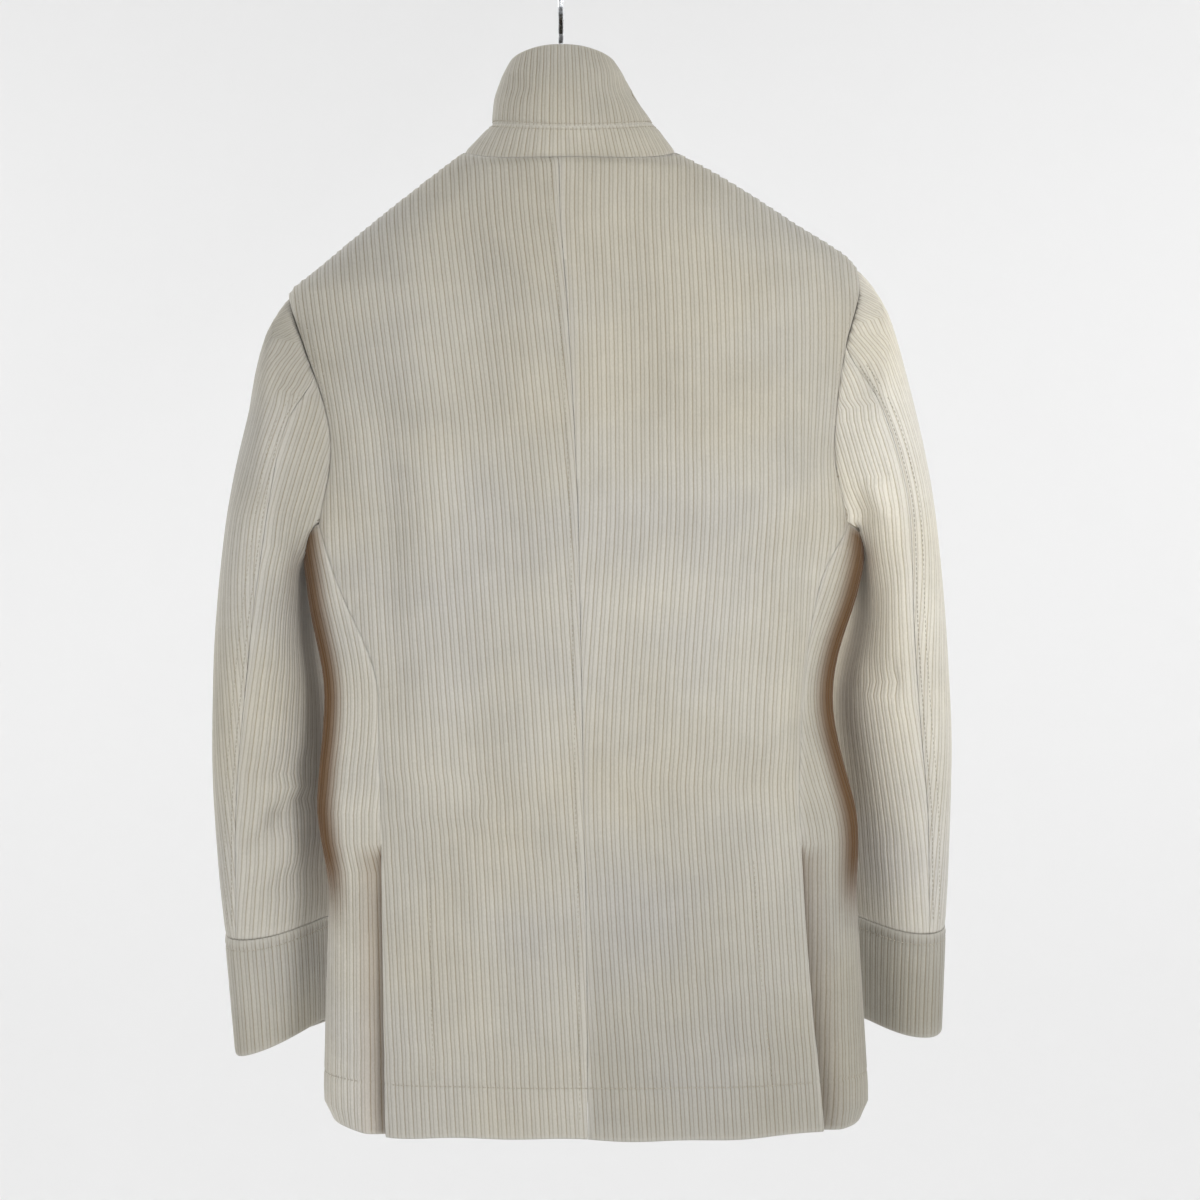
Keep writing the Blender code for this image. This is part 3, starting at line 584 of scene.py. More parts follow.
# Folds as runs from an upper to a lower point, seen from the back (side 1) or the front (side -1):
# how wide each is, and how far it stands out (above 0) or sinks in.
Fold = namedtuple("Fold", "side x_top top x_bottom bottom width height")
BODY_FOLDS = [
    Fold(1, 72, -150, 64, -430, 22, -6.0),
    Fold(1, -58, -160, -68, -450, 22, -5.0),
    Fold(1, 116, -230, 100, -560, 24, 4.5),
    Fold(1, 26, -200, 14, -520, 18, 3.5),
    Fold(1, -118, -240, -128, -560, 22, 4.0),
    Fold(1, -190, -320, -180, -700, 13, 5.5),
    Fold(1, -160, -400, -152, -760, 14, -4.0),
    Fold(1, 60, -560, 96, -800, 26, -5.0),
    Fold(1, -60, -600, -100, -900, 30, -4.5),
    Fold(1, 0, -640, 10, -960, 34, 4.0),
    Fold(1, 150, -330, 132, -640, 15, -3.5),
    Fold(1, 199, -392, 197, -772, 20, 16.0),
    Fold(1, -232, -392, -250, -772, 20, 17.0),
    Fold(-1, 110, -230, 96, -520, 26, -4.5),
    Fold(-1, -120, -230, -118, -520, 26, -4.5),
    Fold(-1, 130, -560, 140, -960, 30, 4.0),
    Fold(-1, -165, -560, -178, -960, 30, 4.0),
    Fold(1, 92, -664, -6, -702, 11, -3.8),
    Fold(1, 84, -684, 10, -716, 10, 3.2),
    Fold(1, -30, -640, -112, -756, 12, 3.6),
    Fold(1, -44, -626, -122, -730, 11, -3.4),
    Fold(1, -46, -818, -118, -866, 10, 3.2),
    Fold(1, -38, -838, -104, -884, 10, -3.0),
    Fold(1, 20, -874, -28, -906, 9, 2.0),
    Fold(-1, 150, -300, 60, -420, 15, -1.8),
    Fold(-1, -168, -290, -96, -400, 15, -1.8),
    Fold(-1, 40, -600, 120, -690, 16, 1.6),
    Fold(-1, -60, -640, -150, -720, 16, -1.6),
]
FOLD_FADE = 0.25
# A fold sways to and fro by this much, once in this height over two pi.
FOLD_SWAY = 2.5
FOLD_SWAY_HEIGHT = 29.0


def fold_cloth(points, facing, folds, bottom):
    """Move points out and in by folds. A fold that reaches the bottom runs off it."""
    moved = points.copy()
    for number, fold in enumerate(folds):
        run = np.array([fold.x_bottom - fold.x_top, fold.bottom - fold.top], float)
        length = np.linalg.norm(run)
        sway = FOLD_SWAY * np.sin(points[..., 2] / FOLD_SWAY_HEIGHT + 1.7 * number)
        offset = np.stack([points[..., 0] + sway - fold.x_top, points[..., 2] - fold.top], axis=-1)
        share = offset @ run / length**2
        apart = np.abs(offset[..., 0] * run[1] - offset[..., 1] * run[0]) / length
        fade = ease(share / FOLD_FADE)
        if fold.bottom > bottom:
            fade = fade * ease((1.0 - share) / FOLD_FADE)
        else:
            fade = fade * (share < 1.2)
        shape = np.exp(-((apart / fold.width) ** 2)) * ease(points[..., 1] * fold.side / 20.0)
        moved += facing * (fold.height * fade * shape)[..., None]
    return moved


def drift(points, facing, amount):
    """Uneven hang of the cloth: slow waves a few fingers wide."""
    x, y, z = points[..., 0], points[..., 1], points[..., 2]
    wave = (
        np.sin(x / 31.0 + 0.8 * np.sin(z / 83.0) + y / 50.0)
        + 0.7 * np.sin(x / 17.0 - z / 61.0 + 2.1)
        + 0.6 * np.sin(z / 47.0 + x / 90.0 + 0.4)
    )
    return points + facing * (amount * wave / 2.3)[..., None]


def read_body(heights):
    """The body's section at each height, its measures as arrays."""
    table = np.array(BODY, float)
    return Section(*(flow(table[:, 0], column, heights) for column in table.T))


def body_loops(heights):
    """The coat's outline at each height, clockwise from above, from the middle of the back."""
    section = Section(*(values[:, None] for values in read_body(heights)))
    turn = np.linspace(0.0, 2.0 * math.pi, LOOP_STEPS, endpoint=False)[None, :]
    middle = (section.left + section.right) / 2
    half = (section.left - section.right) / 2
    exponent = 2 / section.square
    x = middle + half * power(np.sin(turn), exponent)
    depth = np.where(np.cos(turn) > 0, section.back, -section.front)
    y = depth * power(np.cos(turn), exponent)
    level = heights[:, None]
    z = level + np.zeros_like(x)

    to_back = ease(y / section.back)
    to_front = ease(y / section.front)
    neck_share = np.clip(1.0 - (BODY[0].z - level) / NECK_DROP_REACH, 0.0, 1.0) ** 2
    z -= NECK_FRONT_DROP * neck_share * to_front
    z -= NECK_BACK_DROP * np.clip(1.0 - (BODY[0].z - level) / NECK_BACK_REACH, 0.0, 1.0) * to_back
    above = (SAG_TOP - level) / (SAG_TOP - UNDERARM_Z)
    below = (level - SAG_BOTTOM) / (UNDERARM_Z - SAG_BOTTOM)
    sag = np.where(level > UNDERARM_Z, above, below)
    z -= UNDERARM_SAG * np.clip(sag, 0.0, 1.0) * ease(1.0 - np.abs(y) / SAG_REACH)
    z -= HEM_BACK_DROP * np.clip((HEM_DROP_TOP - level) / (HEM_DROP_TOP - HEM_Z), 0.0, 1.0) * to_back

    points = np.stack([x, y, z], axis=-1)
    along = np.roll(points, -1, axis=1) - np.roll(points, 1, axis=1)
    facing = np.stack([-along[..., 1], along[..., 0], np.zeros_like(x)], axis=-1)
    facing /= np.linalg.norm(facing, axis=-1, keepdims=True)
    centre = np.stack([middle + np.zeros_like(x), np.zeros_like(x), level + np.zeros_like(x)], axis=-1)
    facing[np.sum(facing * (points - centre), axis=-1) < 0] *= -1
    folded = fold_cloth(points, facing, BODY_FOLDS, HEM_Z)
    settled = ease((BODY[0].z - level) / NECK_HELD) * ease((level - HEM_Z) / HEM_HELD + 0.6)
    hung = drift(folded, facing * settled[..., None], 0.9)
    # Both lower corners of the coat's outline are rounded where the side bodies curl in.
    near_side = ease((np.abs(x - middle) / half - HEM_CURL_FROM) / (1.0 - HEM_CURL_FROM))
    curl = ease((HEM_Z + HEM_CURL_HEIGHT - level) / HEM_CURL_HEIGHT) ** 3 * near_side
    hung[..., 0] -= np.sign(x - middle) * HEM_CURL * curl
    near_hem = ease((HEM_Z + HEM_WAVE_REACH - level) / HEM_WAVE_REACH)
    hung[..., 2] += np.where(level < UNDERARM_Z, hem_wave(x) * near_hem, 0.0)
    return hung


def hem_wave(x):
    """The hem isn't quite level: it rises and falls by a millimetre or two round the coat."""
    return 1.3 * np.sin(x / 37.0 + 0.9) + 0.8 * np.sin(x / 15.0 + 2.0)


SHOULDER_ROW = 4.0
BODY_ROW = 12.0
LEAST_ROW = 1.2


def body_heights():
    """Heights to read the body at: close over the shoulders, round the armholes and at the hem."""
    heights = list(np.arange(BODY[0].z, -236.0, -SHOULDER_ROW))
    heights += [UNDERARM_Z, UNDERARM_Z - 4.0, UNDERARM_Z - 8.0, HEM_Z]
    for tip in SHOULDER_TIP.values():
        heights += [tip - 0.45 * step**2 for step in range(0, 13)]
    heights += list(np.arange(-330.0, -940.0, -BODY_ROW))
    heights += [HEM_Z + HEM_STITCH + step for step in (-2.4, 0.0, 2.4)]
    heights += [HEM_Z + length for length, _ in EDGE_ROLL]
    ordered = sorted(set(heights), reverse=True)
    kept = ordered[:1]
    for height in ordered[1:]:
        if kept[-1] - height > LEAST_ROW or height in (HEM_Z, UNDERARM_Z, *SHOULDER_TIP.values()):
            kept.append(height)
    return np.array(kept)


HEIGHTS = body_heights()
body_surface = body_loops(HEIGHTS)
# On the shoulders a wale runs straight over the slope, so only widths count there.
SHOULDER_DEPTH_SHARE = 0.003
SHOULDER_END = -262.0
SHOULDER_FADE = 150.0
on_body = ease((SHOULDER_END - HEIGHTS) / SHOULDER_FADE)
depth_share = SHOULDER_DEPTH_SHARE + (1.0 - SHOULDER_DEPTH_SHARE) * on_body
body = close_tube(BODY[0].z - HEIGHTS, body_surface, depth_share)
# Lengths are counted from the centre-back seam, which lies within an eighth of the loop either way.
beside = np.arange(-LOOP_STEPS // 8, LOOP_STEPS // 8 + 1)
for row, place in enumerate(read_body(HEIGHTS).seam):
    passed = body.lengths[row][beside % LOOP_STEPS] - np.where(beside < 0, body.girths[row], 0.0)
    body.lengths[row] -= np.interp(place, body.points[row][beside % LOOP_STEPS, 0], passed)

# The armholes in side view, as y of the back and front edge at each height below the shoulder's tip.
ARMHOLES = {
    "left": ((-261, 0, 0), (-305, 33, -35), (-378, 49, -59), (-450, 38, -48)),
    "right": ((-237, 0, 0), (-261, 24, -24), (-305, 38, -42), (-378, 46, -60), (-450, 38, -48)),
}
# The seams either side of the side bodies below the armholes: x on the back, on the left and right,
# and the share of the half width at which they lie on the front.
SideSeam = namedtuple("SideSeam", "z left right front_share")
SIDE_SEAMS = (
    SideSeam(-500, 179, -212, 0.90),
    SideSeam(-598, 150, -199, 0.86),
    SideSeam(-711, 147, -197, 0.84),
    SideSeam(-740, 147, -199, 0.84),
    SideSeam(-946, 143, -217, 0.84),
)


def turn_to_length(row, turn):
    """Length round a loop from the centre-back seam to a turn in radians, below 0 on the right."""
    where = (turn / (2.0 * math.pi) * LOOP_STEPS) % LOOP_STEPS
    length = np.interp(where, np.arange(LOOP_STEPS + 1), body.lengths[row]) % body.girths[row]
    return length if turn >= 0 else length - body.girths[row]


# The line that the fronts are laid out from, as heights and x.
CENTRE_FRONT = ((-140, -12), (-946, -20))


def centre_front_length(row):
    """Length round a loop from the centre-back seam, by way of the left, to the centre of the front."""
    heights, places = zip(*CENTRE_FRONT)
    across_front = slice(LOOP_STEPS * 3 // 8, LOOP_STEPS * 5 // 8)
    x, lengths = body.points[row][across_front, 0], body.lengths[row][across_front]
    return float(np.interp(flow(heights, places, HEIGHTS[row])[0], x[::-1], lengths[::-1]))


def turn_at_depth(height, depth):
    """The turn at which the plain outline has this y, on the left."""
    section = read_body(height)
    reach = (section.back if depth > 0 else section.front)[0]
    return math.acos(np.sign(depth) * min(abs(depth / reach), 1.0) ** (section.square[0] / 2))


def turn_at_width(height, x, on_back):
    """The turn at which the plain outline has this x, from the middle of the back."""
    section = Section(*(values[0] for values in read_body(height)))
    share = (x - (section.left + section.right) / 2) / ((section.left - section.right) / 2)
    turn = math.asin(np.sign(share) * min(abs(share), 1.0) ** (section.square / 2))
    return turn if on_back else np.sign(turn) * math.pi - turn


def body_edges(side):
    """Lengths round each loop to the seams of one side: back, front, and the middle of the front."""
    sign = OUTWARD[side]
    tip = SHOULDER_TIP[side]
    hole = np.array(ARMHOLES[side], float)
    fall = np.sqrt(tip - hole[:, 0])
    below = [row for row, height in enumerate(HEIGHTS) if height <= UNDERARM_Z]
    known = [UNDERARM_Z] + [seam.z for seam in SIDE_SEAMS]
    known_rows = [int(np.argmin(np.abs(HEIGHTS - height))) for height in known]
    back_known, front_known = [], []
    for height, row in zip(known, known_rows):
        if height == UNDERARM_Z:
            turns = (turn_at_depth(height, hole[-1, 1]), turn_at_depth(height, hole[-1, 2]))
        else:
            seam = next(seam for seam in SIDE_SEAMS if seam.z == height)
            section = Section(*(values[0] for values in read_body(height)))
            middle, half = (section.left + section.right) / 2, (section.left - section.right) / 2
            turns = (
                abs(turn_at_width(height, seam.left if side == "left" else seam.right, True)),
                abs(turn_at_width(height, middle + sign * seam.front_share * half, False)),
            )
        back_known.append(turn_to_length(row, sign * turns[0]))
        front_known.append(turn_to_length(row, sign * turns[1]))
    back, front, centre = np.zeros((3, len(HEIGHTS)))
    for row, height in enumerate(HEIGHTS):
        centre[row] = centre_front_length(row) - (0.0 if side == "left" else body.girths[row])
        if height >= tip:
            back[row] = front[row] = turn_to_length(row, sign * math.pi / 2)
        elif height > UNDERARM_Z:
            for edge, depths in ((back, hole[:, 1]), (front, hole[:, 2])):
                depth = float(flow(fall, depths, math.sqrt(tip - height))[0])
                edge[row] = turn_to_length(row, sign * turn_at_depth(height, depth))
    back[below] = flow(HEIGHTS[known_rows], back_known, HEIGHTS[below])
    front[below] = flow(HEIGHTS[known_rows], front_known, HEIGHTS[below])
    return back, front, centre


edges = {side: body_edges(side) for side in OUTWARD}
# Heights between which the painted shade of the hollow beside a sleeve is strongest, and over which it fades.
HOLLOW = (-438.0, -462.0, -725.0, -800.0)
# The share of the body's half width at which the painted shade of the hollow starts, and beyond which it is
# full.
HOLLOW_START, HOLLOW_FULL = 0.89, 0.98


def in_hollow(height):
    """How strong the painted shade of the hollow beside a sleeve is at a height, from 0 to 1."""
    top, full_from, full_to, bottom = HOLLOW
    return ease((top - height) / (top - full_from)) * ease((height - bottom) / (full_to - bottom))


def beside_sleeve(number, along, row, point):
    """How much painted shade falls on points of the body in the hollow beside a sleeve."""
    across = body.points[row][:, 0]
    share = np.abs(2.0 * point[:, 0] - across.max() - across.min()) / (across.max() - across.min())
    return ease((share - HOLLOW_START) / (HOLLOW_FULL - HOLLOW_START)) * in_hollow(point[:, 2])


ALL_ROWS = np.arange(len(HEIGHTS))

# ---------------------------------------------------------------------------------------------------
# The backs: two halves, cut a little off the grain, so the wales run slowly into the centre-back
# seam. Each runs from the neck to the hem, and laps over the side body at its vent.

# How far the wales have moved towards the wearer's left at each height.
BACK_LEAN = {
    "left": ((-140, 0), (-946, -39)),
    "right": ((-140, 0), (-433, 11), (-676, 27), (-952, 14)),
}


def back_wales(side):
    """The wale on each row that a back's others are spaced from."""
    heights, shifts = zip(*BACK_LEAN[side])
    return flow(heights, shifts, HEIGHTS)


half_gap = SEAM_GAP / 2
# Lengths from the seam or the edge to the stitches beside it.
CENTRE_STITCH = 6.5
VENT_STITCH = 42.0
VENT_TOP = -711.0
VENT_SLANT = 8.0
# Lines of stitches beside each armhole, as lengths from its seam, and how far down they run.
ARMHOLE_STITCHES = {"left": (3.6, 9.4), "right": (4.0,)}
ARMHOLE_STITCH_END = -372.0


def pressed_back(side):
    """Distance to the stitches beside the centre-back seam, above the hem and above the vent."""
    sign = OUTWARD[side]
    vent_edge = edges[side][0]

    def distance(number, along):
        apart = np.abs(along - CENTRE_STITCH) if side == "left" else np.full(len(along), 99.0)
        apart = np.minimum(apart, abs(HEIGHTS[number] - HEM_Z - HEM_STITCH))
        if HEM_Z + HEM_STITCH < HEIGHTS[number] < VENT_TOP - VENT_SLANT:
            apart = np.minimum(apart, np.abs(along - vent_edge[number] + sign * VENT_STITCH))
        return apart

    return distance


for side in OUTWARD:
    full = np.full(len(HEIGHTS), half_gap)
    outer = edges[side][0] - OUTWARD[side] * half_gap
    start, end = (full, outer) if side == "left" else (outer, -full)
    cut_panel(
        f"cloth_back_{side}", f"back_{side}", body, ALL_ROWS, start, end, back_wales(side), ("bottom",),
        pressed=pressed_back(side), hidden=beside_sleeve,
    )

sewn_levels = BODY[0].z - HEIGHTS[1:-4]
sew("stitches_centre_back", body, [[(level, CENTRE_STITCH) for level in sewn_levels]])
hem_level = BODY[0].z - HEM_Z - HEM_STITCH
hem_edges = [np.interp(hem_level, body.levels, edges[side][0]) for side in OUTWARD]
hem_run = np.linspace(hem_edges[1] + 8, hem_edges[0] - 8, 60)
sew("stitches_hem_back", body, [[(hem_level, along) for along in hem_run]])
vent_runs, armhole_runs = [], []
for side, sign in OUTWARD.items():
    edge = edges[side][0]
    down_vent = [row for row in ALL_ROWS if HEM_Z + HEM_STITCH < HEIGHTS[row] < VENT_TOP - VENT_SLANT]
    vent_runs.append([(body.levels[row], edge[row] - sign * VENT_STITCH) for row in down_vent])
    vent_level = BODY[0].z - VENT_TOP
    at_vent = np.interp(vent_level, body.levels, edge)
    vent_runs.append([
        (vent_level + VENT_SLANT * share, at_vent - sign * VENT_STITCH * share)
        for share in np.linspace(0.05, 1, 8)
    ])
    beside_hole = [row for row in ALL_ROWS if ARMHOLE_STITCH_END < HEIGHTS[row] < SHOULDER_TIP[side] - 2.0]
    for inset in ARMHOLE_STITCHES[side]:
        armhole_runs.append([(body.levels[row], edge[row] - sign * inset) for row in beside_hole])
sew("stitches_vents", body, vent_runs)
sew("stitches_armholes", body, armhole_runs, sink=0.5)

# ---------------------------------------------------------------------------------------------------
# The side bodies: one under each arm, from the armhole to the hem. Below the top of the vent each
# runs on under the back's edge as an underlay, and swings clear of it towards the hem.

UNDERLAY = 42.0
LAYER = 4.2
VENT_FADE = 16.0
VENT_SWING = {"left": 10.0, "right": 9.0}
VENT_BEND = 20.0
# How dark the painted shade is on the underlay right beside the back's edge and further from it, and
# how far each reaches.
EDGE_SHADE, EDGE_SHADE_REACH = 0.95, 7.0
UNDERLAY_SHADE = {"left": 0.5, "right": 0.36}
UNDERLAY_SHADE_REACH = 32.0

side_rows = ALL_ROWS[HEIGHTS <= UNDERARM_Z]
for side, sign in OUTWARD.items():
    seam_back, seam_front, _ = (values[side_rows] for values in edges[side])
    down_vent = ease((VENT_TOP - HEIGHTS[side_rows]) / VENT_FADE)
    inner = seam_back + sign * (half_gap - UNDERLAY * down_vent)
    outer = seam_front - sign * half_gap

    def sunk(number, along, side=side, sign=sign, seam_back=seam_back, down_vent=down_vent):
        height = HEIGHTS[side_rows[number]]
        swing = VENT_SWING[side] * np.clip((VENT_TOP - height) / (VENT_TOP - HEM_Z), 0.0, 1.0)
        past = (along - seam_back[number]) * sign
        return down_vent[number] * (LAYER + swing) * (1.0 - ease((past - 1.0) / VENT_BEND))

    # Painted shade: the underlay is darkened beside the back's edge at the vent, and in the hollow beside the
    # sleeve.
    def under_vent(number, along, row, point, side=side, sign=sign, seam_back=seam_back, down_vent=down_vent):
        past = (along - seam_back[number]) * sign
        at_edge = EDGE_SHADE * (1.0 - ease(past / EDGE_SHADE_REACH))
        beyond = UNDERLAY_SHADE[side] * (1.0 - ease(past / UNDERLAY_SHADE_REACH))
        shaded = np.maximum(at_edge, beyond) * down_vent[number]
        return np.maximum(shaded, beside_sleeve(number, along, row, point))

    def pressed_side(number, along):
        return np.full(len(along), abs(HEIGHTS[side_rows[number]] - HEM_Z - HEM_STITCH))

    start, end = np.minimum(inner, outer), np.maximum(inner, outer)
    cut_panel(
        f"cloth_side_{side}", f"side_{side}", body, side_rows, start, end, seam_front, ("bottom",),
        sunk=sunk, pressed=pressed_side, hidden=under_vent,
    )
    ends = [np.interp(hem_level, body.levels, edges[side][which]) for which in (0, 1)]
    run = np.linspace(ends[0] + sign * (VENT_BEND + 4.0), ends[1] - sign * 3.0, 40)
    sew(f"stitches_hem_side_{side}", body, [[(hem_level, along) for along in run]])

# ---------------------------------------------------------------------------------------------------
# The fronts: the left one laps over the right one to the second column of buttons. Both edges are
# turned in, and the under one sinks behind the upper.

LAP_OVER = 62.0
LAP_UNDER = 42.0
FRONT_STITCH = 7.0


def behind_lap(number, along):
    """How far the right front sinks behind the left one."""
    past = along - edges["right"][2][number] - LAP_OVER
    return LAYER * (1.0 - ease((past - 3.0) / 26.0))


def pressed_front(edge):
    """Distance to the stitches along a front's edge and above its hem."""

    def distance(number, along):
        apart = np.abs(along - edge[number])
        return np.minimum(apart, abs(HEIGHTS[number] - HEM_Z - HEM_STITCH))

    return distance


_, front_seam, centre_front = edges["left"]
lap_edge = centre_front + LAP_OVER
cut_panel(
    "cloth_front_left", "front_left", body, ALL_ROWS, front_seam + half_gap, lap_edge, centre_front,
    ("end", "bottom"), pressed=pressed_front(lap_edge - FRONT_STITCH), hidden=beside_sleeve,
)
front_runs = [
    [(body.levels[row], lap_edge[row] - FRONT_STITCH) for row in ALL_ROWS[3:-3]],
    [(hem_level, along) for along in np.linspace(front_seam[-1] + 4.0, lap_edge[-1] - 10.0, 40)],
]
_, front_seam, centre_front = edges["right"]
cut_panel(
    "cloth_front_right", "front_right", body, ALL_ROWS, centre_front - LAP_UNDER, front_seam - half_gap,
    centre_front, ("start", "bottom"), sunk=behind_lap, pressed=pressed_front(centre_front - LAP_UNDER),
    hidden=beside_sleeve,
)
clear_of_lap = centre_front[-1] + LAP_OVER + 32.0
front_runs.append([(hem_level, along) for along in np.linspace(clear_of_lap, front_seam[-1] - 4.0, 30)])
sew("stitches_fronts", body, front_runs)

# ---------------------------------------------------------------------------------------------------
# The sleeves: a top and an under piece each, joined along the hind and the fore arm. They are set
# into the armhole, hang beside the coat and turn in a little across its front.

ArmLoop = namedtuple("ArmLoop", "x_out z_out x_in z_in y half turn")
SLEEVES = {
    "left": [
        ArmLoop(238, -279, 208, -479, 1, 66, 0),
        ArmLoop(257, -345, 214, -494, -3, 76, 4),
        ArmLoop(273, -452, 212, -540, -12, 76, 12),
        ArmLoop(283, -572, 203, -612, -26, 66, 19),
        ArmLoop(285, -650, 200, -672, -36, 60, 22),
        ArmLoop(283, -734, 199, -734, -47, 54, 22),
        ArmLoop(279, -793, 199, -784, -54, 50, 22),
    ],
    "right": [
        ArmLoop(-264, -258, -244, -465, 1, 66, 0),
        ArmLoop(-286, -325, -250, -481, -3, 76, 4),
        ArmLoop(-305, -436, -250, -524, -12, 76, 12),
        ArmLoop(-316, -560, -236, -600, -26, 66, 19),
        ArmLoop(-319, -645, -242, -664, -36, 60, 22),
        ArmLoop(-319, -728, -248, -728, -47, 54, 22),
        ArmLoop(-318, -784, -251, -784, -54, 51, 22),
    ],
}
# The hind seam as seen from behind: height and x of points down it.
HIND_SEAM = {
    "left": (
        (-300, 190), (-346, 209), (-366, 221), (-399, 230), (-432, 236), (-481, 244), (-560, 256), (-697, 271),
        (-790, 274),
    ),
    "right": (
        (-285, -226), (-318, -240), (-358, -262), (-400, -276), (-442, -285), (-530, -290), (-620, -298),
        (-700, -306), (-785, -309),
    ),
}
ARM_SQUARE = 2.2
TOP_SLEEVE_SHARE = 0.60
SLEEVE_ROW = 9.0
# How far the sleeve's raw edge lies inside the armhole, along the shoulder and towards its middle.
SLEEVE_TUCK = (1.5, 1.4)
TUCK_FADE = 9.0
# The cloth can't fold or drift near the armhole and the cuff's seam.
ARM_HELD = 40.0
# Two lines of stitches lie beside the hind seam, and the cloth is rubbed as far as the further one.
SLEEVE_STITCHES = (3.2, 9.6)
SLEEVE_BAND = 9.0
# How dark the painted shade on a sleeve's inner edge is, and over what share of the sleeve's width that fades.
INNER_SHADE = 0.22
INNER_SHADE_FROM, INNER_SHADE_FULL = 0.27, 0.07
# How much lower a sleeve's painted shade in the hollow lies than the body's.
SLEEVE_HOLLOW_DROP = 20.0
SLEEVE_FOLDS = {
    "left": [
        Fold(1, 266, -673, 200, -649, 7, -5.0),
        Fold(1, 262, -690, 205, -662, 7, 4.0),
        Fold(1, 246, -703, 202, -672, 6, -4.5),
        Fold(1, 270, -741, 219, -690, 8, -6.0),
        Fold(1, 262, -762, 214, -718, 8, 4.5),
        Fold(1, 268, -560, 226, -590, 12, -2.0),
        Fold(1, 252, -330, 262, -450, 10, -2.0),
        Fold(-1, 268, -520, 226, -470, 11, -2.2),
        Fold(-1, 268, -620, 212, -590, 12, -2.4),
        Fold(-1, 264, -720, 210, -680, 11, 2.0),
    ],
    "right": [
        Fold(1, -249, -577, -286, -585, 7, -4.5),
        Fold(1, -247, -592, -290, -602, 8, 3.0),
        Fold(1, -249, -414, -268, -450, 8, 5.0),
        Fold(1, -256, -404, -276, -440, 7, -3.5),
        Fold(1, -262, -700, -300, -740, 10, -1.8),
        Fold(-1, -300, -520, -262, -480, 11, -2.2),
        Fold(-1, -306, -610, -250, -640, 12, -2.4),
        Fold(-1, -300, -700, -256, -735, 11, 2.0),
    ],
}

# The cuff's seam and edge sag behind the arm, and the edge's outer corner is rounded.
CUFF_SAG = 10.0
CUFF_SAG_TOP = -700.0
CUFF_SAG_FADE = 90.0
CUFF_CORNER = 7.0
CUFF_CORNER_TURN = 0.45


def arm_outline(row, corner=0.0):
    """One loop of a sleeve, from its outer point by way of the back."""
    outer = np.array([row.x_out, row.y, row.z_out], float)
    inner = np.array([row.x_in, row.y, row.z_in], float)
    turn = np.linspace(0.0, 2.0 * math.pi, LOOP_STEPS, endpoint=False)
    across = power(np.cos(turn), 2 / ARM_SQUARE)[:, None] * (outer - inner) / 2
    turned_in = math.radians(row.turn) * np.sign(row.x_out)
    wide = np.array([math.sin(turned_in), math.cos(turned_in), 0.0]) * row.half
    outline = (outer + inner) / 2 + across + power(np.sin(turn), 2 / ARM_SQUARE)[:, None] * wide
    near_cuff = float(ease((CUFF_SAG_TOP - row.z_out) / CUFF_SAG_FADE))
    outline[:, 2] -= CUFF_SAG * near_cuff * np.clip(np.sin(turn), 0.0, 1.0) ** 1.5
    from_outer = np.minimum(turn, 2.0 * math.pi - turn)
    outline[:, 2] += corner * np.exp(-((from_outer / CUFF_CORNER_TURN) ** 2))
    return outline


def even_run(points, count):
    """Points evenly spaced along a run."""
    run = np.array(points)
    lengths = lengths_along(run)
    return read_run(np.linspace(0.0, lengths[-1], count), lengths, run)


def armhole_outline(side):
    """The armhole's edge, from the shoulder's tip down the back and up the front."""
    rows = [row for row, height in enumerate(HEIGHTS) if UNDERARM_Z <= height <= SHOULDER_TIP[side]]
    lowest = rows[-1]
    middle = turn_to_length(lowest, OUTWARD[side] * math.pi / 2)
    halves = []
    for edge in edges[side][:2]:
        down = [body.read(row, edge[row])[0] for row in rows]
        under = [body.read(lowest, along)[0] for along in np.linspace(edge[lowest], middle, 30)[1:]]
        halves.append(even_run(down + under, LOOP_STEPS // 2 + 1))
    return np.concatenate([halves[0], halves[1][-2:0:-1]])


def arm_surface(side):
    """A sleeve's loops, the directions they face, and the length down the arm to each."""
    outward = OUTWARD[side]
    known = np.array([armhole_outline(side)] + [arm_outline(row) for row in SLEEVES[side]])
    inward = (known[0].mean(axis=0) - known[0]) * (0.0, 1.0, 1.0)
    inward /= np.linalg.norm(inward, axis=1)[:, None]
    tucked = 1.0 - ease((known[0][:, 2] - SHOULDER_TIP[side] + TUCK_FADE) / TUCK_FADE)[:, None]
    known[0] += (inward * SLEEVE_TUCK[1] - (outward * SLEEVE_TUCK[0], 0.0, 0.0)) * tucked
    levels = lengths_along(known.mean(axis=1))
    wanted = np.linspace(0.0, levels[-2], int(levels[-2] / SLEEVE_ROW))
    cuff = np.linspace(levels[-2], levels[-1], 7)[1:-1]
    wanted = np.concatenate([wanted, cuff, levels[-1] - np.array([3.0, 1.5, 0.0])])
    loops = flow(levels, known, wanted)
    settled = (ease(wanted / ARM_HELD) * ease((levels[-1] - wanted) / ARM_HELD))[:, None, None]
    facing = face_out(loops) * settled
    # A fold is behind or in front of the arm's own middle, which hangs forward of the body's.
    forward = loops[..., 1].mean(axis=1)[:, None, None] * (0.0, 1.0, 0.0)
    folded = fold_cloth(loops - forward, facing, SLEEVE_FOLDS[side], -2000.0) + forward
    loops = drift(folded, facing, 1.0)
    return loops, face_out(loops), wanted, levels[-2]


def edge_between(lower, upper, height):
    """The point of an armhole's edge at a height between two of its points."""
    share = (height - lower[2]) / (upper[2] - lower[2])
    return lower + share * (upper - lower)


